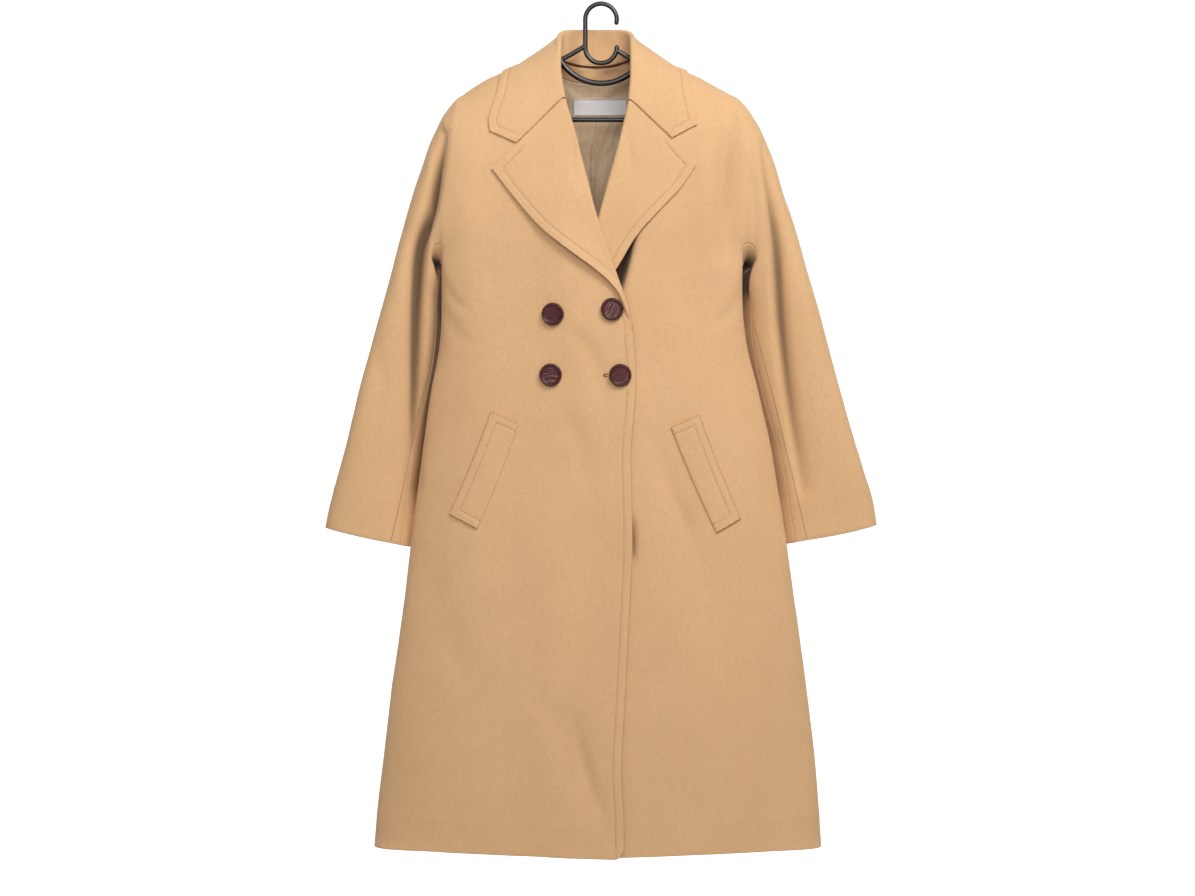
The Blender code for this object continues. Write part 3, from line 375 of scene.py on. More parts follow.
# Area lights: name, place and target in metres, and watts.
LIGHTS = [
    ("key", (0.9, -1.7, 1.2), (0.0, 0.0, -0.4), 38.5),
    ("fill", (-0.25, -2.2, 0.3), (0.0, 0.0, -0.3), 16.8),
]
LIGHT_SIZE = (1.1, 0.9)
CAMERA_PLACE = (-0.0051, -3.2, -0.6406)
CAMERA_LENS = 66.5


def curve(keys, values, at):
    """A smooth curve through values at the rising keys (cubic Hermite with averaged slopes)."""
    keys = np.asarray(keys, float)
    values = np.asarray(values, float)
    at = np.asarray(at, float)
    slopes = np.gradient(values, keys, axis=0)
    i = np.clip(np.searchsorted(keys, at) - 1, 0, len(keys) - 2)
    step = keys[i + 1] - keys[i]
    t = (at - keys[i]) / step
    if values.ndim > 1:
        t, step = t[..., None], step[..., None]
    start = (2 * t**3 - 3 * t**2 + 1) * values[i] + (t**3 - 2 * t**2 + t) * step * slopes[i]
    end = (3 * t**2 - 2 * t**3) * values[i + 1] + (t**3 - t**2) * step * slopes[i + 1]
    return start + end


def through(points, at):
    """A smooth curve through points, evenly keyed, at shares from 0 to 1."""
    return curve(np.linspace(0, 1, len(points)), points, at)


def smoothstep(low, high, value):
    """0 at low, 1 at high, and a smooth rise or fall between them."""
    t = np.clip((np.asarray(value, float) - low) / (high - low), 0, 1)
    return t * t * (3 - 2 * t)


def superellipse(angle):
    """Cosine and sine of a squarish oval."""
    c, s = np.cos(angle), np.sin(angle)
    return np.sign(c) * np.abs(c) ** (2 / POWER), np.sign(s) * np.abs(s) ** (2 / POWER)


CORNER_ANGLE = math.pi - math.acos(CORNER ** (POWER / 2))
CORNER_SINE = (1 - CORNER**POWER) ** (1 / POWER)


def sleeve_point(side, ring, angle):
    """Point of a sleeve's ring. Angle 0 is the overarm, pi the underarm, and the front comes first."""
    rows = SLEEVE[side]
    outer_x, outer_z, inner_x, inner_z, depth, middle_y, lean = curve(range(len(rows)), rows, ring)
    c, s = superellipse(angle)
    share = (1 - c) / 2
    y = middle_y + lean * (2 * share - 1) - depth * s
    away = abs(inner_x) - abs(body_side(side, inner_z)) - ARMPIT_GAP + 4.0 * smoothstep(0.0, 20.0, y)
    start_y = -10.0 - 24.0 * smoothstep(-374.0, -394.0, inner_z)
    hug = np.maximum(0.0, away) * smoothstep(start_y, start_y + 28.0, y) * smoothstep(0.3, 0.85, share)
    x = outer_x + (inner_x - outer_x) * share - hug * np.sign(inner_x)
    return np.stack([x, y, outer_z + (inner_z - outer_z) * share], -1)


def body_side(side, z):
    """Where the body ends at one side at a height, in the front view."""
    rows = np.array(BODY)
    return float(curve(rows[:, 0], rows[:, 1 if side == "right" else 2], z))


def corner_point(side, facing):
    """Where body, sleeve and under-sleeve meet beside the armpit, at the front (-1) or the back (+1)."""
    angle = CORNER_ANGLE if facing < 0 else 2 * math.pi - CORNER_ANGLE
    return sleeve_point(side, 0.0, angle)


def edge_x(side, facing, z):
    """Where a panel ends towards the middle: front edge, roll line or centre back seam."""
    if facing > 0:
        return np.full(np.shape(z), CENTRE_BACK_X)
    rows = np.array(EDGE[side])
    tuck = (ROLL_RADIUS - 0.8) * smoothstep(BREAK_Z[side] - 40, BREAK_Z[side] - 4, z)
    tuck = tuck + NECK_TUCK * smoothstep(-125.0, -85.0, z)
    return curve(rows[:, 0], rows[:, 1], z) + SIGN[side] * tuck


def body_oval(facing, z):
    """Centre, half width and half depth of the body at a height."""
    rows = np.array(BODY)
    found = curve(rows[:, 0], rows[:, 1:], z)
    right, left = found[..., 0], found[..., 1]
    depth = found[..., 2] if facing < 0 else found[..., 3]
    return (right + left) / 2, (left - right) / 2, depth


def overlap_lift(x, z):
    """How far the overlapping front stands out over the other front and its lapel."""
    across = smoothstep(-105.0, -45.0, x)
    down = smoothstep(-215.0, -290.0, z) * (1 - 0.5 * smoothstep(-460.0, -560.0, z))
    return OVERLAP_LIFT * across * down


def lower_grid(side, facing, rows, side_columns, shares):
    """The body below the armhole, side seam to front edge or centre back, hem first."""
    sign = SIGN[side]
    corner = corner_point(side, facing)
    side_angles = np.linspace(0, math.pi - CORNER_ANGLE, side_columns + 1)
    grid = []
    for row in rows:
        line = []
        for angle in side_angles:
            loop_angle = math.pi - angle if facing < 0 else math.pi + angle
            top = sleeve_point(side, 0.0, loop_angle)
            z = HEM_SIDE_Z + (top[2] - HEM_SIDE_Z) * row
            centre, width, depth = body_oval(facing, z)
            c, s = superellipse(angle)
            low = np.array([centre + sign * width * c, facing * depth * s, z])
            blend = smoothstep(top[2] - ARMPIT_BLEND, top[2], z)
            line.append(low * (1 - blend) + np.array([top[0], top[1], z]) * blend)
        for u in shares[1:]:
            hem = HEM_SIDE_Z + (HEM_CENTRE_Z - HEM_SIDE_Z) * u
            z = hem + (corner[2] - hem) * row
            blend = smoothstep(corner[2] - ARMPIT_BLEND, corner[2], z)
            centre, width, depth = body_oval(facing, z)
            start = (centre + sign * width * CORNER) * (1 - blend) + corner[0] * blend
            x = start + (edge_x(side, facing, z) - start) * u
            across = min(abs(x - centre) / width, 1.0)
            low_y = depth * (1 - across**POWER) ** (1 / POWER)
            y = low_y * (1 - blend) + chest_depth(u) * blend
            line.append(np.array([x, facing * y, z]))
        grid.append(line)
    return np.array(grid)


def chest_depth(u):
    """Depth of the chest at the armhole's foot, from the corner to the middle."""
    start = CORNER_SINE * ARMHOLE_DEPTH
    return start + (CHEST_DEPTH - start) * math.sin(math.pi / 2 * min(1.0, u / 0.55))


def neckline(side, turn):
    """The back neck seam, from the neck point (0) to the centre back (1)."""
    sign = SIGN[side]
    neck_x = float(edge_x(side, -1, NECK_SIDE_Z[side]))
    angle = np.asarray(turn, float) * math.pi / 2
    width = abs(neck_x - CENTRE_BACK_X)
    return np.stack(
        [
            CENTRE_BACK_X + sign * width * np.cos(angle),
            NECK_DEPTH * np.sin(angle),
            NECK_SIDE_Z[side] + (NECK_BACK_Z - NECK_SIDE_Z[side]) * np.sin(angle),
        ],
        -1,
    )


def upper_grid(side, facing, rows, across):
    """The body above the armhole's foot, as a patch between its four edges."""
    corner = corner_point(side, facing)
    angles = np.linspace(CORNER_ANGLE, 0, rows + 1)
    up = np.linspace(0, 1, rows + 1)
    armhole = sleeve_point(side, 0.0, angles if facing < 0 else 2 * math.pi - angles)
    shoulder = np.array(SHOULDER[side])[::-1]
    shoulder[-1, 0] = edge_x(side, -1, NECK_SIDE_Z[side])
    top_xz = through(shoulder, across)
    top = np.stack([top_xz[:, 0], np.zeros(len(across)), top_xz[:, 1]], -1)
    if facing < 0:
        z = corner[2] + (NECK_SIDE_Z[side] - corner[2]) * up
        y = -CHEST_DEPTH * (1 - up**3.2) ** (1 / 3.2)
        middle = np.stack([edge_x(side, facing, z), y, z], -1)
    else:
        knee = 0.5
        z = corner[2] + (NECK_BACK_Z - corner[2]) * np.minimum(up / knee, 1)
        y = CHEST_DEPTH + (NECK_DEPTH - CHEST_DEPTH) * np.minimum(up / knee, 1) ** 3
        middle = np.stack([np.full(rows + 1, CENTRE_BACK_X), y, z], -1)
        turning = up > knee
        middle[turning] = neckline(side, 1 - (up[turning] - knee) / (1 - knee))
    foot = lower_grid(side, facing, (0, 1), 1, across)[-1][1:]
    grid = []
    for r, f in enumerate(up):
        line = []
        for c, u in enumerate(across):
            sides = (1 - u) * armhole[r] + u * middle[r]
            ends = (1 - f) * foot[c] + f * top[c]
            corners = (1 - f) * ((1 - u) * foot[0] + u * foot[-1]) + f * ((1 - u) * top[0] + u * top[-1])
            line.append(sides + ends - corners)
        grid.append(line)
    return np.array(grid)


def sleeve_grid(side, first_angle, last_angle, columns, rings):
    """Part of a sleeve, armhole to cuff, between two angles round it."""
    angles = np.linspace(first_angle, last_angle, columns + 1)
    return np.array([sleeve_point(side, ring, angles) for ring in rings])


def sleeve_rings():
    """Where along its table a sleeve's rings are drawn."""
    last = len(SLEEVE["right"]) - 1
    return np.linspace(0, last, round(last / GRID["ring_step"]) + 1)


def coat_grids():
    """Every grid of the coat with the piece it belongs to and a direction that points out of the coat."""
    found = []
    upper = GRID["upper_rows"]
    for side in SIDES:
        for facing, word in ((-1, "front_"), (1, "back_")):
            out = (0, facing, 0)
            lower = lower_grid(side, facing, ROWS, GRID["side_columns"], SHARES)
            found.append((word + side, "lower", lower, out))
            found.append((word + side, "upper", upper_grid(side, facing, upper, SHARES), out))
            last = CORNER_ANGLE if facing < 0 else -CORNER_ANGLE
            found.append((word + side, "sleeve", sleeve_grid(side, 0.0, last, upper, sleeve_rings()), out))
        inner = (-SIGN[side], 0, 0)
        columns = 2 * GRID["side_columns"]
        under = sleeve_grid(side, CORNER_ANGLE, 2 * math.pi - CORNER_ANGLE, columns, sleeve_rings())
        found.append(("under_sleeve_" + side, "sleeve", under, inner))
    return found


def grid_faces(grid, out, start=0):
    """Quads of a grid, wound so that they face out."""
    rows, columns = grid.shape[:2]
    du = np.diff(grid, axis=1)[:-1]
    dv = np.diff(grid, axis=0)[:, :-1]
    flip = np.sum(np.cross(du, dv) @ np.array(out, float)) < 0
    index = start + np.arange(rows * columns).reshape(rows, columns)
    quads = np.stack([index[:-1, :-1], index[:-1, 1:], index[1:, 1:], index[1:, :-1]], -1).reshape(-1, 4)
    return quads[:, ::-1] if flip else quads


def coat_surface():
    """The coat as one welded surface, with each quad's piece and which points belong to a sleeve."""
    points, quads, tags, names, arm = [], [], [], [], []
    start = 0
    for name, kind, grid, out in coat_grids():
        if name not in names:
            names.append(name)
        if name == "front_right":
            grid[..., 1] -= overlap_lift(grid[..., 0], grid[..., 2])
        found = grid_faces(grid, out, start)
        points.append(grid.reshape(-1, 3))
        quads.append(found)
        tags.append(np.full(len(found), names.index(name)))
        arm.append(np.full(len(points[-1]), kind == "sleeve"))
        start += len(points[-1])
    points, quads, tags, arm = (np.concatenate(part) for part in (points, quads, tags, arm))
    keys = np.round(points / WELD).astype(np.int64)
    _, first, same = np.unique(keys, axis=0, return_index=True, return_inverse=True)
    quads = same.reshape(-1)[quads]
    return SimpleNamespace(points=points[first], quads=quads, tags=tags, names=names, arm=arm[first])


def edges_of(quads):
    """Each quad's directed edges, and the boundary ones among them."""
    ahead = np.roll(quads, -1, axis=1)
    pairs = np.concatenate([np.stack([quads[:, i], ahead[:, i]], 1) for i in range(quads.shape[1])])
    pairs = pairs[pairs[:, 0] != pairs[:, 1]]
    size = int(quads.max()) + 1
    forward = pairs[:, 0].astype(np.int64) * size + pairs[:, 1]
    backward = pairs[:, 1].astype(np.int64) * size + pairs[:, 0]
    return pairs, pairs[~np.isin(forward, backward)]


def normals_of(points, quads):
    """Area-weighted normals of a surface."""
    cross = np.cross(points[quads[:, 2]] - points[quads[:, 0]], points[quads[:, -1]] - points[quads[:, 1]])
    normals = np.zeros_like(points)
    for i in range(quads.shape[1]):
        np.add.at(normals, quads[:, i], cross)
    return normals / np.maximum(np.linalg.norm(normals, axis=1, keepdims=True), 1e-9)


def soften(points, quads, times):
    """Evens out the depth of the inner points, so that the grids meet without a crease."""
    pairs, rim = edges_of(quads)
    pairs = np.unique(np.sort(pairs, axis=1), axis=0)
    weight = 1 / np.maximum(np.linalg.norm(points[pairs[:, 0]] - points[pairs[:, 1]], axis=1), 0.5)
    a, b = pairs.T
    size = len(points)
    total = np.bincount(a, weight, size) + np.bincount(b, weight, size)
    free = np.ones(size, bool)
    free[rim.ravel()] = False
    for _ in range(times):
        y = points[:, 1]
        mean = np.bincount(a, weight * y[b], size) + np.bincount(b, weight * y[a], size)
        moved = y + 0.5 * (mean / np.maximum(total, 1e-9) - y)
        points[:, 1] = np.where(free, moved, y)


def fold_depths(x, z, folds):
    """Sum of soft folds at many points. Each fades at its ends; a tuck is steep on one side (+1: right)."""
    shape = np.shape(x)
    x, z = np.ravel(x), np.ravel(z)
    depth = np.zeros(len(x))
    for path, width, height, *steep in folds:
        line = through(np.array(path, float), np.linspace(0, 1, 160))
        near = np.flatnonzero(
            (x > line[:, 0].min() - 3 * width)
            & (x < line[:, 0].max() + 3 * width)
            & (z > line[:, 1].min() - 3 * width)
            & (z < line[:, 1].max() + 3 * width)
        )
        apart = np.hypot(line[None, :, 0] - x[near, None], line[None, :, 1] - z[near, None])
        share = apart.argmin(1) / (len(line) - 1)
        fade = np.sin(math.pi * np.clip(0.06 + 0.88 * share, 0, 1)) ** 0.6
        if steep:
            over = (x[near] - line[apart.argmin(1), 0]) * steep[0] > 0
            width = np.where(over, width * TUCK_STEEP, width)
        depth[near] += height * fade * np.exp(-((apart.min(1) / width) ** 2))
    return depth.reshape(shape)


def ripple(points, size, seed):
    """Soft unevenness of hanging cloth, from -1 to 1."""
    spots = points.reshape(-1, 3) / (size, size, 2.2 * size) + (seed, 0, 0)
    return np.array([noise.noise(Vector(spot)) for spot in spots]).reshape(points.shape[:-1])


def turned_edge_ridge(away, height):
    """A slight step where a turned-up allowance ends this far above an edge."""
    return 0.5 * np.exp(-(((away - height) / 3.5) ** 2))


def hem_z(x):
    """Height of the hem at a distance from the middle."""
    aside = np.clip(np.abs(x - CENTRE_X) / HEM_HALF_WIDTH, 0, 1)
    return HEM_CENTRE_Z + (HEM_SIDE_Z - HEM_CENTRE_Z) * aside


def cuff_distance(points):
    """Distance of sleeve points from their cuff's edge, up the sleeve."""
    found = np.full(len(points), 1e9)
    for rows in SLEEVE.values():
        outer, inner = np.array(rows[-1][:2]), np.array(rows[-1][2:4])
        along = unit(inner - outer)
        across = np.array([along[1], -along[0]])
        across = across if across[1] > 0 else -across
        near = np.sign(points[:, 0]) == np.sign(outer[0])
        away = (points[:, [0, 2]] - outer) @ across
        found = np.where(near, away, found)
    return found


def front_edge_distance(points, side):
    """Distance in the front view from a front's free edge."""
    return SIGN[side] * (points[:, 0] - edge_x(side, -1, points[:, 2]))


def round_hem_corner(points, member, side):
    """Rounds the lower corner of a front's free edge."""
    away = front_edge_distance(points, side)
    up = points[:, 2] - hem_z(points[:, 0])
    near = np.flatnonzero(member & (away < HEM_CORNER) & (up < HEM_CORNER) & (away > -2))
    a = 1 - np.clip(away[near] / HEM_CORNER, 0, 1)
    b = 1 - np.clip(up[near] / HEM_CORNER, 0, 1)
    shift_a = (a - a * np.sqrt(1 - b * b / 2)) * HEM_CORNER
    shift_b = (b - b * np.sqrt(1 - a * a / 2)) * HEM_CORNER
    points[near, 0] += shift_a * SIGN[side]
    points[near, 2] += shift_b


def members(coat, name):
    """Which points belong to a piece."""
    found = np.zeros(len(coat.points), bool)
    found[coat.quads[coat.tags == coat.names.index(name)].ravel()] = True
    return found


def dress_coat(coat):
    """Adds folds, turned-up edges, stitched edges and unevenness to the coat's surface, and returns painted
    shade for the deep tucks.
    """
    points, quads, arm = coat.points, coat.quads, coat.arm
    soften(points, quads, SMOOTHING)
    fronts = {side: members(coat, "front_" + side) for side in SIDES}
    for side, member in fronts.items():
        round_hem_corner(points, member & ~arm, side)
    normals = normals_of(points, quads)
    x, z = points[:, 0], points[:, 2]
    front = np.clip(-normals[:, 1], 0, 1)
    back = np.clip(normals[:, 1], 0, 1)
    depth = fold_depths(x, z, FOLDS) * front + fold_depths(x, z, BACK_FOLDS) * back
    shade = TUCK_SHADE * smoothstep(*TUCK_SHADED, depth)
    height = sum(ripple(points, size, seed) * rise for size, seed, rise in CLOTH_WAVES) - depth
    cuffs = turned_edge_ridge(cuff_distance(points), CUFF_TURN)
    height += np.where(arm, cuffs, turned_edge_ridge(z - hem_z(x), HEM_TURN))
    for side, member in fronts.items():
        edge = member & ~arm & (z < BREAK_Z[side] + 4)
        away = front_edge_distance(points, side)
        height += np.where(edge, stitched_edge(away), 0)
    points += normals * height[:, None]
    return shade


def open_wedge(coat):
    """Sinks the under front beside the lower end of its lapel, where the coat gapes, and returns painted shade
    for the gape.
    """
    sink = fold_depths(coat.points[:, 0], coat.points[:, 2], WEDGE) * members(coat, "front_left")
    coat.points[:, 1] += sink
    return smoothstep(2.0, 9.0, sink)


def underarm_shade(coat):
    """Painted shade: 1 in the hollow under each arm, and less beside the body further down the sleeve."""
    shade = np.zeros(len(coat.points))
    x, y, z = coat.points.T
    steps = np.linspace(-760.0, -360.0, 80)
    for side, (hollow_x, hollow_z, wide, high) in zip(SIDES, HOLLOWS, strict=True):
        member = members(coat, "under_sleeve_" + side)
        apart = ((x - hollow_x) / wide) ** 2 + ((z - hollow_z) / high) ** 2
        shade += 1.6 * np.exp(-apart) * member
        edge = np.interp(z, steps, [body_side(side, step) for step in steps])
        near = (coat.arm & (x * edge > 0)) * smoothstep(32.0, 20.0, y)
        run = smoothstep(-380.0, -420.0, z) * smoothstep(-745.0, -690.0, z)
        beside = np.exp(-(((np.abs(x) - np.abs(edge)) / JUNCTION_WIDTH) ** 2))
        shade += JUNCTION_SHADE[side] * beside * near * run
    return np.minimum(shade, 1.0)


def lining_share(coat, name):
    """1 where the inside of a coat piece shows the lining and 0 where it shows the cloth's facing."""
    points = coat.points
    sleeve = smoothstep(CUFF_TURN - 12, CUFF_TURN - 10, cuff_distance(points))
    body = smoothstep(HEM_TURN - 2, HEM_TURN, points[:, 2] - hem_z(points[:, 0]))
    if name.startswith("front"):
        side = name.split("_")[1]
        body = body * smoothstep(FRONT_FACING - 2, FRONT_FACING, front_edge_distance(points, side))
    return np.where(coat.arm, sleeve, body)


def shell(name, points, quads, thick, normals=None, lining=None, shade=None):
    """One closed wall with rounded rims: the given surface outside and the same, moved in, behind it."""
    used, local = np.unique(quads, return_inverse=True)
    quads = local.reshape(-1, 4)
    points = points.reshape(-1, 3)[used]
    normals = normals_of(points, quads) if normals is None else normals[used]
    _, rim = edges_of(quads)
    inward = np.zeros_like(points)
    side = np.cross(normals[rim[:, 0]] + normals[rim[:, 1]], points[rim[:, 1]] - points[rim[:, 0]])
    side /= np.maximum(np.linalg.norm(side, axis=1, keepdims=True), 1e-9)
    np.add.at(inward, rim[:, 0], side)
    np.add.at(inward, rim[:, 1], side)
    length = np.linalg.norm(inward, axis=1, keepdims=True)
    inward = np.where(length > 1e-9, inward / np.maximum(length, 1e-9), 0)
    on_rim = np.unique(rim)
    ring_at = np.full(len(points), -1)
    ring_at[on_rim] = np.arange(len(on_rim))
    count, ring = len(points), len(on_rim)
    layers = [points + inward * SEAM_PULL * thick]
    for inset, depth in RIM:
        layers.append((points + inward * inset * thick - normals * depth * thick)[on_rim])
    layers.append(points + inward * SEAM_PULL * thick - normals * thick)
    starts = [count + ring * i for i in range(len(RIM))]
    inner = count + ring * len(RIM)
    faces = [quads, quads[:, ::-1] + inner]
    levels = [rim] + [start + ring_at[rim] for start in starts] + [rim + inner]
    for upper, lower in zip(levels, levels[1:], strict=False):
        faces.append(np.stack([upper[:, 1], upper[:, 0], lower[:, 0], lower[:, 1]], 1))
    made = make_mesh(name, np.concatenate(layers), np.concatenate(faces))
    if lining is not None:
        share = np.zeros(inner + count)
        share[inner:] = lining[used]
        add_attribute(made, "lining", share)
    if shade is not None:
        dark = np.zeros(inner + count)
        dark[:count] = shade[used]
        add_attribute(made, "shade", dark)
    return made


def add_attribute(made, name, values, domain="POINT"):
    """A value for each point or face, which the piece's material reads."""
    layer = made.data.attributes.new(name, "FLOAT", domain)
    layer.data.foreach_set("value", np.asarray(values, np.float32))


def make_mesh(name, points, faces):
    """A smooth-shaded mesh object in metres."""
    mesh = bpy.data.meshes.new(name)
    mesh.from_pydata((np.asarray(points, float) * MM).tolist(), [], [list(map(int, f)) for f in faces])
    mesh.update()
    mesh.shade_smooth()
    made = bpy.data.objects.new(name, mesh)
    bpy.context.scene.collection.objects.link(made)
    return made


def tree_from(points, quads):
    """A surface to look for points on."""
    return BVHTree.FromPolygons([Vector(p) for p in points], [list(map(int, f)) for f in quads])


def depth_at(tree, x, z, facing=-1):
    """The y of a surface behind a point of the front or back view."""
    hit = tree.ray_cast(Vector((x, facing * 500, z)), Vector((0, -facing, 0)))[0]
    if hit is None:
        return tree.find_nearest(Vector((x, facing * 50, z)))[0].y
    return hit.y


def unit(v):
    """A vector at length 1."""
    return v / max(np.linalg.norm(v), 1e-9)


def clear(tree, grid, columns, distance, sign=1):
    """Moves some columns of a grid off a surface until they are this far away."""
    for _ in range(3):
        for r in range(grid.shape[0]):
            for c in columns:
                spot = Vector(grid[r, c])
                near, normal, _, _ = tree.find_nearest(spot)
                short = distance - sign * (spot - near).dot(normal)
                if 0 < short and (spot - near).length < 3 * distance:
                    grid[r, c] += np.array(normal) * short * sign


def path_distance(points, path):
    """Distance of points to a path through points."""
    best = np.full(points.shape[:-1], 1e9)
    for start, end in zip(path, path[1:], strict=False):
        step = end - start
        t = np.clip(((points - start) @ step) / max(step @ step, 1e-9), 0, 1)
        best = np.minimum(best, np.linalg.norm(points - start - t[..., None] * step, axis=-1))
    return best


def stitched_edge(distance, puff=0.5, groove=0.75):
    """Relief beside a topstitched edge: a full strip and a groove where the stitches pull the cloth in."""
    inside = np.clip(distance / STITCH_IN, 0, 1)
    strip = puff * np.sin(math.pi * inside) ** 0.7
    beyond = 0.35 * puff * np.exp(-(((distance - STITCH_IN - 4.5) / 3.0) ** 2))
    return strip * (distance < STITCH_IN) + beyond - groove * np.exp(-(((distance - STITCH_IN) / 1.3) ** 2))


def raised(grid, out, relief):
    """A grid raised along its normals, those normals and its faces."""
    quads = grid_faces(grid, out)
    normals = normals_of(grid.reshape(-1, 3), quads).reshape(grid.shape)
    return grid + normals * relief[..., None], normals, quads


def inset_line(grid, away, blocked):
    """Where each row of a grid first comes a stitch line's distance in from its last column, as points."""
    found = []
    for line, gone, shut in zip(grid, away, blocked, strict=True):
        inside = np.flatnonzero(gone >= STITCH_IN)
        if not len(inside) or inside[-1] + 1 >= len(line) or shut[inside[-1]]:
            continue
        i = inside[-1]
        share = (gone[i] - STITCH_IN) / max(gone[i] - gone[i + 1], 1e-9)
        found.append(line[i] + (line[i + 1] - line[i]) * share)
    return np.array(found)


def end_stitches(points, normals, away, blocked):
    """Stitches beside the first and the last row of a grid."""
    for flip in (1, -1):
        turned, gone, shut = (np.swapaxes(part[::flip], 0, 1)[:, ::-1] for part in (points, away, blocked))
        add_stitches(inset_line(turned, gone, np.roll(shut, -1, axis=1)), points, normals)


def lapel(side, tree):
    """A lapel: its facing starts inside, wraps round the roll line and lies on the front."""
    rows, keys = np.array(LAPEL_EDGES[side]), LAPEL_SHARES[side]
    edge_rows = np.array(EDGE[side])
    low_lift, high_lift = LAPEL_LIFT[side]
    grid = []
    for v in FLAP_ROWS:
        roll_z = GORGE_Z[side] + (LAPEL_FOOT_Z[side] - GORGE_Z[side]) * v
        places = [(curve(edge_rows[:, 0], edge_rows[:, 1], z), z) for z in (roll_z, roll_z - 2)]
        roll, ahead = (np.array(place) for place in places)
        along = unit(ahead - roll)
        across = np.array([-along[1], along[0]]) * SIGN[side]
        lift = low_lift + (high_lift - low_lift) * math.sin(math.pi * v) ** 2
        radius = ROLL_RADIUS * (1 - 0.65 * float(smoothstep(0.7, 1.0, v)))
        grid.append(flap_section(tree, roll, across, curve(keys, rows, v), lift, radius))
    grid = np.array(grid)
    first = grid.shape[1] - len(FLAP_SHARES)
    clear(tree, grid, range(first + 1, grid.shape[1]), CLOTH + LAYER_GAP)
    clear(tree, grid, range(0, 2), 2 * CLOTH + LAYER_GAP, -1)
    if side == "right":
        grid[..., 1] += 5.0 * smoothstep(0.89, 0.985, FLAP_ROWS)[:, None]
    outline = np.stack([curve(keys, rows, v) for v in np.linspace(0, 1, 60)])
    flat = grid[..., [0, 2]]
    outer = path_distance(flat, outline)
    notch = np.array(NOTCH[side])
    tip = path_distance(flat, [outline[0], notch])
    seam = path_distance(flat, [notch, flat[0, first]])
    face = (np.arange(grid.shape[1]) >= first)[None, :]
    relief = stitched_edge(np.minimum(outer, tip)) - 0.5 * np.exp(-((seam / 2.6) ** 2))
    points, normals, quads = raised(grid, (0, -1, 0), relief * face)
    waves = ripple(points, 34.0, 5.0 if side == "right" else 7.0)
    points += normals * (waves * 0.6 * face)[..., None]
    points -= normals * (fold_depths(flat[..., 0], flat[..., 1], LAPEL_FOLDS) * face)[..., None]
    made = shell("lapel_" + side, points, quads, CLOTH)
    add_stitches(inset_line(points, outer, tip < STITCH_IN), points, normals)
    turned, gone, near = (np.swapaxes(part[::-1], 0, 1) for part in (points, tip, outer))
    top = inset_line(turned, gone, near < STITCH_IN)
    add_stitches(top[path_distance(top[:, [0, 2]], [outline[0], notch]) < STITCH_IN + 1.0], points, normals)
    return made


def flap_section(tree, roll, across, outer, lift, radius):
    """Outer points of one section through a folded-back flap, from inside the coat to its free edge."""
    base = roll + across * (radius - 0.2)
    middle = depth_at(tree, *base) + CLOTH / 2
    start = roll + across * radius
    inside = min(FACING_DEPTH, radius + 0.8 * max(np.dot(outer - start, across), 1.0))
    line = []
    for reach in np.linspace(inside, radius, 4):
        spot = roll + across * reach
        line.append((spot[0], depth_at(tree, *spot) + CLOTH / 2 + radius, spot[1]))
    for angle in np.linspace(67.5, -67.5, 7):
        turn = math.radians(angle)
        spot = roll + across * radius * (1 - math.cos(turn))
        line.append((spot[0], middle + radius * math.sin(turn), spot[1]))
    for share in FLAP_SHARES:
        spot = start + (outer - start) * share
        y = depth_at(tree, *spot) - LAYER_GAP - CLOTH
        y += (min(y, middle - radius) - y) * math.exp(-((share / 0.08) ** 2))
        line.append((spot[0], y - lift * share**2, spot[1]))
    return line


def collar_stations():
    """The collar's stations all the way round, from the wearer's right end to the left end."""
    left = []
    for row in COLLAR_RIGHT[4:-1][::-1]:
        mirrored = list(row)
        mirrored[0] = 360 - mirrored[0]
        for x in (1, 4, 7):
            mirrored[x] = 2 * COLLAR_MIRROR_X - mirrored[x]
        left.append(mirrored)
    end = [[360 + row[0], *row[1:]] for row in COLLAR_LEFT_END[::-1]]
    return np.array([list(row) for row in COLLAR_RIGHT] + left + end)


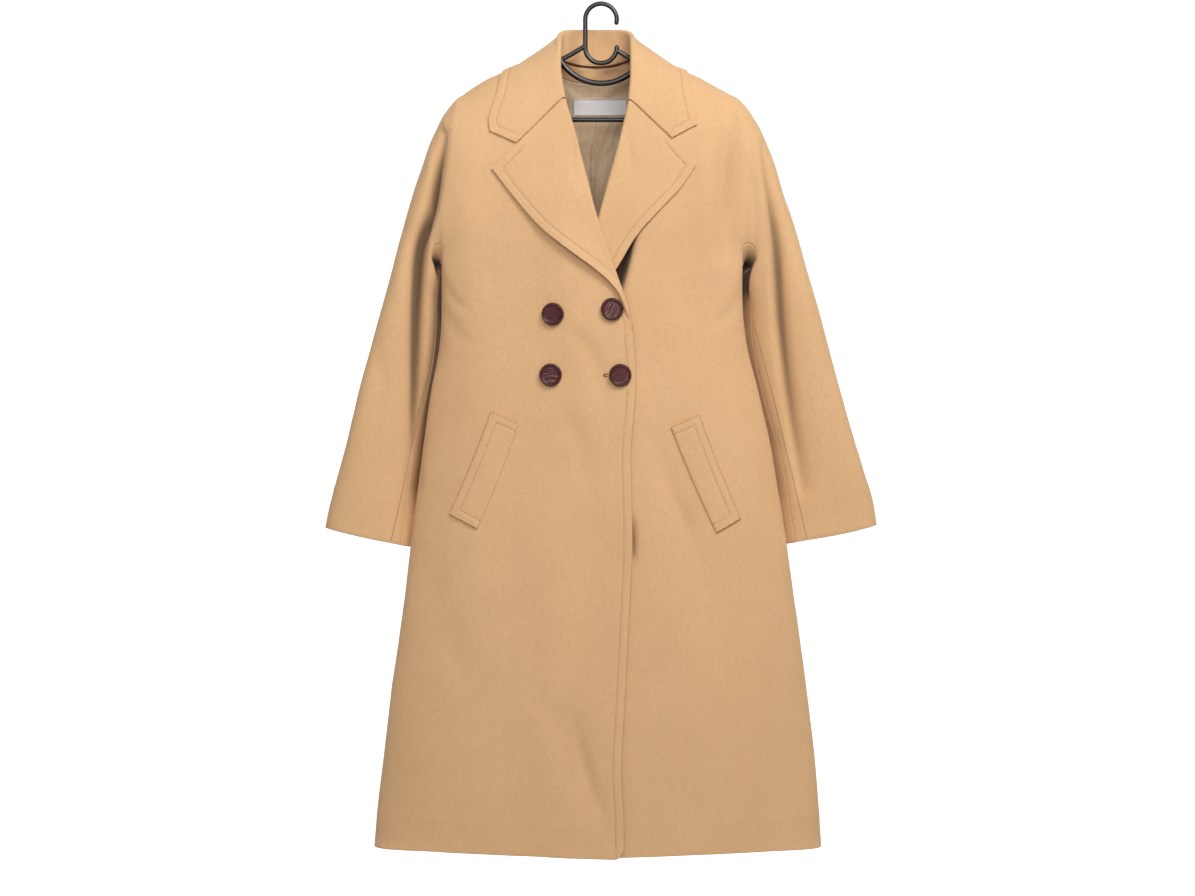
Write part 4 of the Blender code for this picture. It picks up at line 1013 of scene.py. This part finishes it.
def collar(tree):
    """The collar: a stand that rises from the neck seam, a rolled fold and a fall over the shoulders."""
    stations = collar_stations()
    near_end = np.linspace(0, 0.045, 20)
    shares = np.concatenate([near_end, np.linspace(0.045, 0.955, 130)[1:-1], 1 - near_end[::-1]])
    rows = through(stations, shares)
    rolls = rows[:, 4:7]
    for row in rows:
        inside = float(smoothstep(-80.0, -100.0, row[6]))
        if inside:
            side, away = ("right", -3.0) if row[4] < COLLAR_MIRROR_X else ("left", 3.0)
            panel = depth_at(tree, edge_x(side, -1, row[6]) + away, row[6])
            row[5] += (panel + CLOTH / 2 - row[5]) * inside
    grid = []
    for i, row in enumerate(rows):
        along = unit(rolls[min(i + 1, len(rows) - 1)] - rolls[max(i - 1, 0)])
        turn = math.radians(row[0])
        out = np.array([-math.sin(turn), -math.cos(turn), 0.0])
        out = unit(out - along * np.dot(out, along))
        up = np.cross(along, out)
        centre = rolls[i]
        start = centre - out * ROLL_RADIUS
        line = [row[1:4] * (1 - t) + start * t for t in np.linspace(0, 0.9, STAND_COLUMNS)]
        for angle in np.linspace(90, -90, ROLL_COLUMNS):
            bent = math.radians(angle)
            line.append(centre - out * ROLL_RADIUS * math.sin(bent) + up * ROLL_RADIUS * math.cos(bent))
        start = line[-1]
        edge = row[7:]
        side = "right" if i < len(rows) / 2 else "left"
        notch = np.array([NOTCH[side][0], start[1], NOTCH[side][1]])
        end_share = min(shares[i], 1 - shares[i]) * (len(stations) - 1)
        pull = float(1 - smoothstep(0, 1.2, end_share))
        bend = start + (edge - start) * 0.62
        bend = bend * (1 - pull) + notch * pull
        line += [start + (bend - start) * t for t in np.linspace(0, 1, BEND_COLUMNS + 1)[1:]]
        line += [bend + (edge - bend) * t for t in np.linspace(0, 1, EDGE_COLUMNS + 1)[1:]]
        grid.append(line)
    grid = np.array(grid)
    fall = STAND_COLUMNS + ROLL_COLUMNS
    bend_end = fall + BEND_COLUMNS
    clear(tree, grid, range(fall, grid.shape[1]), CLOTH + LAYER_GAP)
    smooth_rows(grid, fall, 6)
    clear(tree, grid, range(fall, grid.shape[1]), CLOTH + LAYER_GAP)
    half = len(rows) // 2
    ends = (grid[: sum(rolls[:half, 2] < COLLAR_INSIDE_Z)], grid[-sum(rolls[half:, 2] < COLLAR_INSIDE_Z) :])
    for end in ends:
        clear(tree, end, range(0, 4), 2 * CLOTH + LAYER_GAP, -1)
    outer = path_distance(grid, grid[:, -1])
    tips = np.minimum(*(path_distance(grid, grid[i, bend_end:]) for i in (0, -1)))
    seams = np.minimum(*(path_distance(grid, grid[i, fall - 1 : bend_end + 1]) for i in (0, -1)))
    face = (np.arange(grid.shape[1]) >= fall)[None, :]
    relief = stitched_edge(np.minimum(outer, tips)) - 0.5 * np.exp(-((seams / 2.6) ** 2))
    points, normals, quads = raised(grid, (0, 0, 1), relief * face)
    points += normals * (ripple(points, 30.0, 11.0) * 0.5 * face)[..., None]
    made = shell("collar", points, quads, CLOTH)
    add_stitches(inset_line(points, outer, tips < STITCH_IN), points, normals)
    end_stitches(points, normals, tips, outer < STITCH_IN)
    return made


def smooth_rows(grid, first, times):
    """Evens out the depth of a grid's columns from the given one on, along the rows."""
    for _ in range(times):
        part = grid[:, first:]
        mean = (part[:-2, 1:-1] + part[2:, 1:-1] + part[1:-1, :-2] + part[1:-1, 2:]) / 4
        part[1:-1, 1:-1, 1] += 0.5 * (mean[..., 1] - part[1:-1, 1:-1, 1])


STITCHES = {"points": [], "faces": []}


def tube_faces(rings, sides, start=0):
    """Faces of a tube made of rings of points, closed at both ends."""
    faces = []
    for ring in range(start, start + (rings - 1) * sides, sides):
        for k in range(sides):
            a, b = ring + k, ring + (k + 1) % sides
            faces.append((a, b, b + sides, a + sides))
    last = start + (rings - 1) * sides
    return [*faces, tuple(range(start, start + sides))[::-1], tuple(range(last, last + sides))]


def add_stitches(line, points=None, normals=None, tree=None):
    """Adds a row of stitches along a line of points that lies on a surface: a grid's or a tree's."""
    if len(line) < 2:
        return
    if tree is None:
        flat, flat_normals = points.reshape(-1, 3), normals.reshape(-1, 3)
    length = np.concatenate([[0], np.cumsum(np.linalg.norm(np.diff(line, axis=0), axis=1))])
    count = int(length[-1] / STITCH_PITCH)
    for at in (np.arange(count) + 0.5) * length[-1] / max(count, 1):
        near = (at - 1, at, at + 1)
        before, spot, after = np.stack([np.interp(near, length, line[:, k]) for k in range(3)], -1)
        if tree is None:
            up = flat_normals[np.argmin(((flat - spot) ** 2).sum(1))]
        else:
            spot, up = (np.array(found) for found in tree.find_nearest(Vector(spot))[:2])
        add_stitch(spot + up * 0.1, unit(after - before), up)


def add_stitch(spot, along, up):
    """One stitch: a short thread that dips into the cloth at both ends."""
    side = unit(np.cross(along, up))
    faces = tube_faces(5, STITCH_SIDES, len(STITCHES["points"]))
    for t, thick in ((-0.5, 0.35), (-0.3, 0.9), (0.0, 1.0), (0.3, 0.9), (0.5, 0.35)):
        middle = spot + along * t * STITCH_LENGTH + up * 0.3 * (1 - (2 * t) ** 2)
        for k in range(STITCH_SIDES):
            angle = 2 * math.pi * k / STITCH_SIDES
            off = side * math.cos(angle) + up * 0.7 * math.sin(angle)
            STITCHES["points"].append(middle + off * STITCH_WIDTH / 2 * thick)
    STITCHES["faces"] += faces


def laid_line(tree, x, z):
    """A line of the front view, laid on a surface."""
    return np.array([(a, depth_at(tree, a, b), b) for a, b in zip(x, z, strict=True)])


def front_edge_stitches(tree, side):
    """The stitches along a front's free edge, from the break to the hem."""
    z = np.arange(LAPEL_FOOT_Z[side] - 6, HEM_CENTRE_Z + 14, -4.0)
    x = edge_x(side, -1, z) + STITCH_IN * SIGN[side]
    add_stitches(laid_line(tree, x, z), tree=tree)


def sleeve_seam_shade(side, tree):
    """The seam down a sleeve's front, up to where the sleeve's inner edge hides it: a flat strip whose dark
    colour is painted shade of the seam's groove.
    """
    table = np.array(SEAM_SHADE_PATH[side])
    z = np.arange(table[-1, 1], table[0, 1], SEAM_STEP)
    line = laid_line(tree, np.polyval(np.polyfit(table[:, 1], table[:, 0], 3), z), z)
    jumps = np.flatnonzero(np.abs(np.diff(line[:, 1])) > 2.5)
    line = line[: jumps[0]] if len(jumps) else line
    points = []
    for spot, ahead in zip(line, np.gradient(line, axis=0), strict=True):
        up = np.array(tree.find_nearest(Vector(spot))[1])
        across = unit(np.cross(ahead, up))
        for k in range(STITCH_SIDES):
            angle = 2 * math.pi * k / STITCH_SIDES
            points.append(spot + across * SEAM_WIDTH / 2 * math.cos(angle) + up * SEAM_RISE * math.sin(angle))
    return make_mesh("sleeve_seam_" + side, np.array(points), tube_faces(len(line), STITCH_SIDES))


def pocket_welt(side, tree):
    """A pocket welt, laid on its front."""
    top_out, top_in, low_in, low_out = (np.array(p) for p in WELT[side])
    across = np.concatenate([np.linspace(0, 0.4, 20), np.linspace(0.4, 1, 14)[1:]])
    ends = np.linspace(0, 0.11, 20)
    down = np.concatenate([ends, np.linspace(0.11, 0.89, 40)[1:-1], 1 - ends[::-1]])
    grid = []
    for v in down:
        bow = -math.sin(math.pi * v) * 2.0 * SIGN[side]
        line = []
        for u in across:
            spot = (top_out * (1 - u) + top_in * u) * (1 - v) + (low_out * (1 - u) + low_in * u) * v
            spot[0] += bow
            line.append((spot[0], depth_at(tree, *spot) - LAYER_GAP - WELT_THICK, spot[1]))
        grid.append(line[::-1])
    grid = np.array(grid)
    flat = grid[..., [0, 2]]
    outer = path_distance(flat, flat[:, -1])
    ends = np.minimum(path_distance(flat, flat[0]), path_distance(flat, flat[-1]))
    inner = path_distance(flat, flat[:, 0])
    relief = stitched_edge(np.minimum(outer, ends), 0.35, 0.6) - 1.2 * np.exp(-((inner / 2.5) ** 2)) + 0.6
    points, normals, quads = raised(grid, (0, -1, 0), relief)
    made = shell("pocket_welt_" + side, points, quads, WELT_THICK + 0.4)
    add_stitches(inset_line(points, outer, ends < STITCH_IN), points, normals)
    end_stitches(points, normals, ends, outer < STITCH_IN)
    return made


def button_height(radius, angle, seed):
    """Height of a button's face: a raised rim round a carved middle."""
    rim = 1.5 * math.exp(-(((radius - 14.0) / 1.5) ** 2))
    edge = -3.4 * max(0.0, (radius - 14.6) / 1.4) ** 2.2
    inside = float(1 - smoothstep(11.6, 13.2, radius))
    x, z = radius * math.cos(angle), radius * math.sin(angle)
    lean = math.radians(BUTTON_LEAN[seed - 1])
    a = x * math.cos(lean) + z * math.sin(lean)
    b = -x * math.sin(lean) + z * math.cos(lean)
    bend = 3.4 * noise.noise(Vector((a / 14, b / 14, seed)))
    streaks = noise.noise(Vector((a / 20.0, (b + bend) / 2.4, 3.7 + seed)))
    fine = noise.noise(Vector((a / 12.0, (b + bend) / 1.1, 8.1 + seed)))
    return 5.2 + rim + edge + inside * (0.3 * streaks + 0.03 * fine - 0.4)


def button(number, x, z, tree):
    """A turned button with carved streaks, standing on its shank."""
    radii = np.concatenate([np.linspace(15.9, 13.0, 9), np.linspace(12.6, 0.5, BUTTON_RINGS)])
    rings = [[(r, h) for _ in range(BUTTON_STEPS)] for r, h in BUTTON_BACK]
    angles = np.linspace(0, 2 * math.pi, BUTTON_STEPS + 1)[:-1]
    rings += [[(r, button_height(r, a, number)) for a in angles] for r in radii]
    points = []
    for ring in rings:
        points += [(r * math.cos(a), -h, r * math.sin(a)) for (r, h), a in zip(ring, angles, strict=True)]
    seat, normal, _, _ = tree.ray_cast(Vector((x, -500, z)), Vector((0, 1, 0)))
    turn = np.array(Vector((0, -1, 0)).rotation_difference(normal).to_matrix())
    points = np.array(points) @ turn.T + np.array(seat + normal * SHANK_GAP)
    return make_mesh(f"button_{number}", points, tube_faces(len(rings), BUTTON_STEPS))


def buttonhole(name, x, z, tree):
    """A worked buttonhole: close stitches round a slit."""
    points, faces = [], []
    half, wide, stitches, sides = 9.0, 1.7, 96, 5
    for k in range(stitches):
        angle = 2 * math.pi * k / stitches
        a = half * math.copysign(abs(math.cos(angle)) ** 0.35, math.cos(angle))
        b = wide * math.sin(angle)
        spot = np.array([x + a, depth_at(tree, x + a, z + b) - 0.35, z + b])
        middle = np.array([x + a * 0.86, spot[1] + 0.4, z])
        radial = unit(spot - middle)
        along = unit(np.cross(radial, (0, 1, 0)))
        faces += tube_faces(4, sides, len(points))
        for t, r in ((-1.0, 0.2), (-0.5, 0.34), (0.4, 0.34), (1.1, 0.2)):
            for i in range(sides):
                turn = 2 * math.pi * i / sides
                off = along * r * math.cos(turn) + np.array([0, -r * math.sin(turn), 0])
                points.append(spot + radial * t + off)
    return make_mesh(name, np.array(points), faces)


def inside_back(tree, x, z, inset):
    """A point of a sheet that lies inside the back, this far in from the back's inner face."""
    spot = np.array([x, depth_at(tree, x, z, facing=1) - CLOTH - inset, z])
    for _ in range(4):
        near, normal, _, _ = tree.find_nearest(Vector(spot))
        depth = (near - Vector(spot)).dot(normal)
        spot[1] -= max(0.0, CLOTH + inset - depth)
    return spot


def inner_sheet(name, tree, ends, steps, thick, inset, gap, relief=None):
    """A sheet inside the back, drawn between pairs of x, z points and kept this far off the back."""
    grid = []
    for first, last in ends:
        spots = [first + (last - first) * t for t in np.linspace(0, 1, steps)]
        grid.append([inside_back(tree, *spot, inset) for spot in spots])
    grid = np.array(grid)
    clear(tree, grid, range(grid.shape[1]), CLOTH + gap, -1)
    if relief:
        grid[..., 1] -= np.maximum(relief(grid[..., 0], grid[..., 2]), -0.5)
    return shell(name, grid, grid_faces(grid, (0, -1, 0)), thick), grid


def facing_edge(turn, edge, inset=0.0):
    """A point of the neck facing's lower or upper edge, from one shoulder (0) to the other (1)."""
    angle = math.radians(FACING_START + FACING_SWEEP * turn)
    z, width, height = edge
    x = COLLAR_MIRROR_X - (width + inset) * math.cos(angle)
    return np.array([x, z - (height + inset) * math.sin(angle)])


def neck_facing(tree):
    """The cloth facing inside the back neck, between the collar seam and the lining."""
    ends = [(facing_edge(t, FACING_LOW), facing_edge(t, FACING_HIGH)) for t in np.linspace(0, 1, 80)]
    gap = FACING_THICK + 0.35
    return inner_sheet("neck_facing", tree, ends, 18, FACING_THICK, SEAM_GAP + FACING_THICK, gap)[0]


def lining_relief(x, z):
    """The lining's centre pleat and creases."""
    centre = curve([-300, -242, -233, -212, -171], [-12.0, -14.5, -15.5, -14.5, -7.0], np.maximum(z, -300.0))
    away = x - centre
    below = smoothstep(-150.0, -175.0, z)
    pleat = np.where(away > 0, 4.2 * np.exp(-away / 6.0), 0.0) * below
    return pleat - fold_depths(x, z, LINING_FOLDS)


def back_lining(tree):
    """The lining of the upper back, as far as the neck shows it, and its surface."""
    ends = []
    for turn in np.linspace(0, 1, 150):
        low = np.array([CENTRE_X - 150 * math.cos(math.radians(15 + 150 * turn)), LINING_FOOT_Z])
        ends.append((facing_edge(turn, FACING_LOW, 0.5), low))
    inset = LAYER_GAP + 1.0 + LINING
    gap = LINING + LAYER_GAP
    made, grid = inner_sheet("back_lining", tree, ends, 110, LINING, inset, gap, lining_relief)
    return made, tree_from(grid.reshape(-1, 3), grid_faces(grid, (0, -1, 0)))


def neck_label(tree):
    """The blank label, sewn to the lining below the neck, with a thin woven border."""
    left, foot = LABEL["left_x"], LABEL["bottom_z"]
    width, height = LABEL["right_x"] - left, LABEL["top_z"] - foot
    grid = []
    for b in label_steps(height):
        line = []
        for a in label_steps(width):
            y = depth_at(tree, left + a, foot + b) - LABEL["thick"] - 0.25
            line.append((left + a, y - 0.5 * math.sin(math.pi * a / width), foot + b))
        grid.append(line)
    grid = np.array(grid)
    made = shell("neck_label", grid, grid_faces(grid, (0, -1, 0)), LABEL["thick"])
    centres = np.zeros(3 * len(made.data.polygons))
    made.data.polygons.foreach_get("center", centres)
    x, _, z = centres.reshape(-1, 3).T / MM
    inset = np.minimum(np.minimum(x - left, left + width - x), np.minimum(z - foot, foot + height - z))
    add_attribute(made, "border", (inset > 1.0) & (inset < 1.9), "FACE")
    return made


def label_steps(size):
    """Distances across the label, with the border's two sides among them."""
    edge = [0.0, 0.5, 1.0, 1.45, 1.9]
    return np.concatenate([edge, np.linspace(2.6, size - 2.6, 40), size - np.array(edge[::-1])])


def rod(path, radius, start, sides=20):
    """Points and faces of a round rod with domed ends, along a path of x, z points."""
    points = []
    first, last = path[0] - path[1], path[-1] - path[-2]
    dome = ((1.0, 0.05), (0.8, 0.6), (0.45, 0.89))
    stations = [(path[0] + unit(first) * radius * s, -first, c) for s, c in dome]
    for i, spot in enumerate(path):
        stations.append((spot, path[min(i + 1, len(path) - 1)] - path[max(i - 1, 0)], 1.0))
    stations += [(path[-1] + unit(last) * radius * s, last, c) for s, c in dome[::-1]]
    for spot, along, size in stations:
        across = unit(np.array([-along[1], along[0]]))
        for k in range(sides):
            angle = 2 * math.pi * (k + 0.5) / sides
            x, z = spot + across * radius * size * math.cos(angle)
            points.append((x, radius * size * math.sin(angle), z))
    return points, tube_faces(len(stations), sides, start)


def arc(centre, radius, first, last, steps):
    """Points of an arc in the x, z plane, angles in degrees."""
    angles = np.radians(np.linspace(first, last, steps + 1))
    return np.stack([centre[0] + radius * np.cos(angles), centre[1] + radius * np.sin(angles)], -1)


def hanger():
    """The moulded hanger: hook, neck loop, arms and the bow under the neck."""
    h = HANGER
    radius = h["hook_radius"]
    hook = np.concatenate([
        arc((0.0, -radius + h["rod"]), radius, h["hook_end"], 180, 60),
        arc((0.0, h["neck_z"]), radius, 180, 360, 50),
    ])
    arms = through(np.concatenate([ARM_RIGHT, ARM_LEFT[::-1]]), np.linspace(0, 1, 200))
    half = math.degrees(math.acos((h["bow_centre_z"] - h["bow_end_z"]) / h["bow_radius"]))
    bow = arc((0, h["bow_centre_z"]), h["bow_radius"], 270 - half, 270 + half, 70)
    points, faces = [], []
    for path, size in ((hook, h["rod"]), (arms, h["rod"]), (bow, h["bow_rod"])):
        found, shape = rod(path, size, len(points))
        points += found
        faces += shape
    return make_mesh("hanger", points, faces)


class Shader:
    """Builds a material's nodes with short calls."""

    def __init__(self, name):
        self.material = bpy.data.materials.new(name)
        self.material.use_nodes = True
        self.tree = self.material.node_tree
        self.surface = self.tree.nodes["Principled BSDF"]
        self.place = self.add("ShaderNodeTexCoord").outputs["Object"]

    def add(self, kind, **inputs):
        node = self.tree.nodes.new(kind)
        for name, value in inputs.items():
            self.feed(node.inputs[name.replace("_", " ")], value)
        return node

    def feed(self, socket, value):
        if isinstance(value, bpy.types.NodeSocket):
            self.tree.links.new(value, socket)
        else:
            socket.default_value = value

    def stretched(self, scale):
        node = self.add("ShaderNodeMapping", Vector=self.place)
        node.inputs["Scale"].default_value = scale
        return node.outputs["Vector"]

    def noise(self, scale, detail=3.0, roughness=0.55, vector=None, distortion=0.0):
        node = self.add("ShaderNodeTexNoise", Vector=vector or self.place, Scale=scale, Detail=detail)
        node.inputs["Roughness"].default_value = roughness
        node.inputs["Distortion"].default_value = distortion
        return node.outputs["Fac"]

    def wave(self, scale, direction, vector=None):
        node = self.add("ShaderNodeTexWave", Vector=vector or self.place, Scale=scale)
        node.bands_direction = direction
        return node.outputs["Fac"]

    def math(self, operation, a, b):
        node = self.tree.nodes.new("ShaderNodeMath")
        node.operation = operation
        self.feed(node.inputs[0], a)
        self.feed(node.inputs[1], b)
        return node.outputs["Value"]

    def ramp(self, value, low, high, start=0.0, end=1.0):
        node = self.add("ShaderNodeMapRange", Value=value)
        for name, number in (("From Min", low), ("From Max", high), ("To Min", start), ("To Max", end)):
            node.inputs[name].default_value = number
        return node.outputs["Result"]

    def mix(self, share, a, b):
        node = self.tree.nodes.new("ShaderNodeMix")
        node.data_type = "RGBA"
        self.feed(node.inputs["Factor"], share)
        for socket, value in ((node.inputs[6], a), (node.inputs[7], b)):
            self.feed(socket, (*value, 1) if isinstance(value, tuple) else value)
        return node.outputs[2]

    def attribute(self, name):
        node = self.tree.nodes.new("ShaderNodeAttribute")
        node.attribute_name = name
        return node.outputs["Fac"]

    def bump(self, height, distance, strength=1.0, normal=None):
        node = self.add("ShaderNodeBump", Height=height, Distance=distance, Strength=strength)
        if normal is not None:
            self.feed(node.inputs["Normal"], normal)
        return node.outputs["Normal"]

    def finish(self, colour, roughness, normal, **constants):
        self.feed(self.surface.inputs["Base Color"], colour)
        self.feed(self.surface.inputs["Roughness"], roughness)
        self.feed(self.surface.inputs["Normal"], normal)
        for name, value in constants.items():
            self.surface.inputs[name.replace("_", " ")].default_value = value
        return self.material


def wool_cloth():
    """Felted wool with a short brushed nap; the inside shows a satin lining where it is lined."""
    s = Shader("felted_wool")
    nap = s.noise(1100.0, 4.0, 0.7, s.stretched((1.0, 1.0, 0.4)))
    felt = s.noise(230.0, 3.0, 0.6)
    cloud = s.noise(14.0, 2.0, 0.5)
    tone = s.math("ADD", s.math("MULTIPLY", nap, 0.45), s.math("MULTIPLY", felt, 0.55))
    wool = s.mix(s.ramp(tone, 0.3, 0.7), WOOL_DARK, WOOL_LIGHT)
    wool = s.mix(s.ramp(cloud, 0.3, 0.7, 0.0, 0.16), wool, WOOL_DEEP)
    # Painted shade in deep tucks, the gape beside the lower lapel and the hollows under the arms.
    wool = s.mix(s.attribute("shade"), wool, WOOL_SHADE)
    twill = s.wave(420.0, "DIAGONAL")
    satin = s.mix(s.ramp(twill, 0.0, 1.0, 0.3, 0.7), LINING_DARK, LINING_LIGHT)
    inside = s.attribute("lining")
    colour = s.mix(inside, wool, satin)
    fine = s.bump(nap, 0.0005, 0.5)
    normal = s.bump(felt, 0.0007, 0.45, fine)
    return s.finish(
        colour, s.ramp(inside, 0.0, 1.0, 0.92, 0.42), normal,
        Sheen_Weight=0.35, Sheen_Roughness=0.5, Sheen_Tint=(1.0, 0.88, 0.74, 1.0), Specular_IOR_Level=0.25,
    )


def lining_cloth():
    """Satin lining."""
    s = Shader("satin_lining")
    twill = s.wave(420.0, "DIAGONAL")
    slub = s.noise(500.0, 3.0, 0.6, s.stretched((1.0, 1.0, 0.15)))
    tone = s.math("ADD", s.math("MULTIPLY", twill, 0.4), s.math("MULTIPLY", slub, 0.6))
    colour = s.mix(s.ramp(tone, 0.2, 0.8), LINING_DARK, LINING_LIGHT)
    creases = s.noise(38.0, 3.0, 0.6, s.stretched((1.0, 1.0, 0.6)), 0.4)
    normal = s.bump(creases, 0.006, 0.35, s.bump(twill, 0.0002, 0.4))
    return s.finish(colour, s.ramp(slub, 0.3, 0.7, 0.32, 0.42), normal, Sheen_Weight=0.15, Anisotropic=0.5)


def label_cloth():
    """Woven label, bare within a thin border."""
    s = Shader("woven_label")
    warp = s.wave(900.0, "X")
    weft = s.wave(1100.0, "Z")
    weave = s.math("MULTIPLY", warp, weft)
    white = s.mix(weave, (0.93, 0.91, 0.88), (1.0, 0.98, 0.95))
    colour = s.mix(s.attribute("border"), white, (0.02, 0.018, 0.016))
    return s.finish(colour, s.ramp(weave, 0.0, 1.0, 0.6, 0.75), s.bump(weave, 0.0002, 0.5), Sheen_Weight=0.2)


def button_resin():
    """Dark red-brown streaked resin under a gloss."""
    s = Shader("streaked_resin")
    streaks = s.noise(160.0, 4.0, 0.6, s.stretched((1.0, 1.0, 2.6)), 1.2)
    colour = s.mix(s.ramp(streaks, 0.35, 0.7), (0.04, 0.006, 0.007), (0.135, 0.02, 0.022))
    scratch = s.noise(1400.0, 2.0)
    return s.finish(
        colour, s.ramp(scratch, 0.3, 0.7, 0.28, 0.38), s.bump(scratch, 0.00005, 0.2),
        Coat_Weight=0.25, Coat_Roughness=0.18, Specular_IOR_Level=0.35,
    )


def hanger_plastic():
    """Moulded black-brown plastic."""
    s = Shader("moulded_plastic")
    flow = s.noise(60.0, 3.0, 0.5)
    grain = s.noise(1500.0, 2.0)
    colour = s.mix(s.ramp(flow, 0.3, 0.7), (0.012, 0.0085, 0.007), (0.026, 0.018, 0.014))
    return s.finish(
        colour, s.ramp(flow, 0.3, 0.7, 0.26, 0.36), s.bump(grain, 0.00006, 0.35),
        Coat_Weight=0.3, Coat_Roughness=0.2,
    )


def thread_and_shade_line(name, dark, light):
    """Twisted thread; the same look also makes the sleeve seams' dark strip of painted shade."""
    s = Shader(name)
    twist = s.wave(1500.0, "DIAGONAL")
    colour = s.mix(twist, dark, light)
    return s.finish(colour, 0.6, s.bump(twist, 0.0002, 0.6), Sheen_Weight=0.2)


def backdrop_paint():
    """White paint; the wall behind the coat is lit evenly, the floor is left as it is."""
    s = Shader("backdrop")
    grain = s.noise(30.0, 3.0)
    colour = s.mix(grain, (0.56, 0.555, 0.55), (0.6, 0.595, 0.59))
    made = s.finish(colour, 0.9, s.bump(grain, 0.0005, 0.1), Emission_Color=(1.0, 1.0, 1.0, 1.0))
    s.feed(s.surface.inputs["Emission Strength"], s.attribute("glow"))
    return made


def put(made, material, slot_name, *nodes):
    """Gives a piece its material and body, and hides the solids it stands for; the slot name is not used."""
    made.data.materials.append(material)
    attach(made, "root")
    if nodes:
        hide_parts(*nodes)
    return made


def backdrop():
    """A pale floor that curves up behind the coat."""
    profile = [(y, FLOOR_Z) for y in (-4000, 0, 700, 850, 1000, 1150, 2400, CURVE_Y)]
    for turn in np.linspace(0, math.pi / 2, 16)[1:]:
        profile.append((CURVE_Y + CURVE_RADIUS * math.sin(turn), FLOOR_Z + CURVE_RADIUS * (1 - math.cos(turn))))
    profile.append((CURVE_Y + CURVE_RADIUS, WALL_TOP_Z))
    grid = np.array([[(x, y, z) for x in np.linspace(-FLOOR_HALF, FLOOR_HALF, 9)] for y, z in profile])
    made = make_mesh("backdrop", grid.reshape(-1, 3), grid_faces(grid, (0, -1, 1)))
    add_attribute(made, "glow", WALL_GLOW * smoothstep(*GLOW_Y, grid[..., 1].ravel()))
    made.data.materials.append(backdrop_paint())


def light(name, place, target, power):
    """A soft area light that points at a target, in metres."""
    data = bpy.data.lights.new(name, "AREA")
    data.shape = "RECTANGLE"
    data.size, data.size_y = LIGHT_SIZE
    data.energy = power
    made = bpy.data.objects.new(name, data)
    made.location = place
    made.rotation_euler = (Vector(target) - Vector(place)).to_track_quat("-Z", "Y").to_euler()
    bpy.context.scene.collection.objects.link(made)


def studio():
    """Soft light, brighter above, and the camera in front."""
    world = bpy.data.worlds.new("studio")
    world.use_nodes = True
    world.node_tree.nodes["Background"].inputs["Color"].default_value = (1.0, 1.0, 1.0, 1.0)
    world.node_tree.nodes["Background"].inputs["Strength"].default_value = WORLD_LIGHT
    bpy.context.scene.world = world
    bpy.context.scene.view_settings.view_transform = "Standard"
    for row in LIGHTS:
        light(*row)
    data = bpy.data.cameras.new("camera")
    data.sensor_width = 36.0
    data.lens = CAMERA_LENS
    data.dof.use_dof = False
    camera = bpy.data.objects.new("camera", data)
    camera.location = CAMERA_PLACE
    camera.rotation_euler = (math.pi / 2, 0.0, 0.0)
    bpy.context.scene.collection.objects.link(camera)
    bpy.context.scene.camera = camera


def piece_tree(coat, *names):
    """The surface of some of the coat's pieces."""
    return tree_from(coat.points, coat.quads[np.isin(coat.tags, [coat.names.index(name) for name in names])])


def build():
    """Makes every piece, the backdrop, the lights and the camera."""
    wool, satin, woven = wool_cloth(), lining_cloth(), label_cloth()
    resin, plastic = button_resin(), hanger_plastic()
    thread = thread_and_shade_line("topstitching_thread", (0.47, 0.26, 0.125), (0.66, 0.39, 0.2))
    # The sleeve seams' strip is painted shade of the seam groove, darker than the cloth.
    seam_shade_line = thread_and_shade_line("seam_shade_line", (0.34, 0.185, 0.09), (0.43, 0.24, 0.12))
    dark_thread = thread_and_shade_line("buttonhole_thread", (0.16, 0.07, 0.04), (0.3, 0.14, 0.075))
    coat = coat_surface()
    shade = dress_coat(coat)
    trees = {side: piece_tree(coat, "front_" + side) for side in SIDES}
    whole = piece_tree(coat, *coat.names)
    back = piece_tree(coat, "back_right", "back_left")
    shade = np.maximum(shade, open_wedge(coat))
    shade = np.maximum(shade, underarm_shade(coat))
    normals = normals_of(coat.points, coat.quads)
    for tag, name in enumerate(coat.names):
        quads = coat.quads[coat.tags == tag]
        made = shell(name, coat.points, quads, CLOTH, normals, lining_share(coat, name), shade)
        put(made, wool, "wool", name)
    for side in SIDES:
        put(lapel(side, trees[side]), wool, "wool", "lapel_" + side)
        put(pocket_welt(side, trees[side]), wool, "wool", "pocket_welt_" + side)
        front_edge_stitches(trees[side], side)
        put(sleeve_seam_shade(side, trees[side]), seam_shade_line, "wool")
    put(collar(whole), wool, "wool", "collar")
    for number, (x, z) in enumerate(BUTTONS, 1):
        put(button(number, x, z, trees["right"]), resin, "button", f"button_{number}")
    for number, shift in ((2, 6.0), (4, 14.0)):
        x, z = BUTTONS[number - 1]
        put(buttonhole(f"buttonhole_{number}", x - shift, z, trees["right"]), dark_thread, "wool")
    put(neck_facing(back), wool, "wool", "neck_facing")
    lining, lining_tree = back_lining(back)
    put(lining, satin, "lining", "back_lining")
    put(neck_label(lining_tree), woven, "label", "neck_label")
    put(hanger(), plastic, "hanger_plastic", "hanger")
    stitches = make_mesh("topstitching", np.array(STITCHES["points"]), STITCHES["faces"])
    put(stitches, thread, "wool")
    backdrop()
    studio()


build()
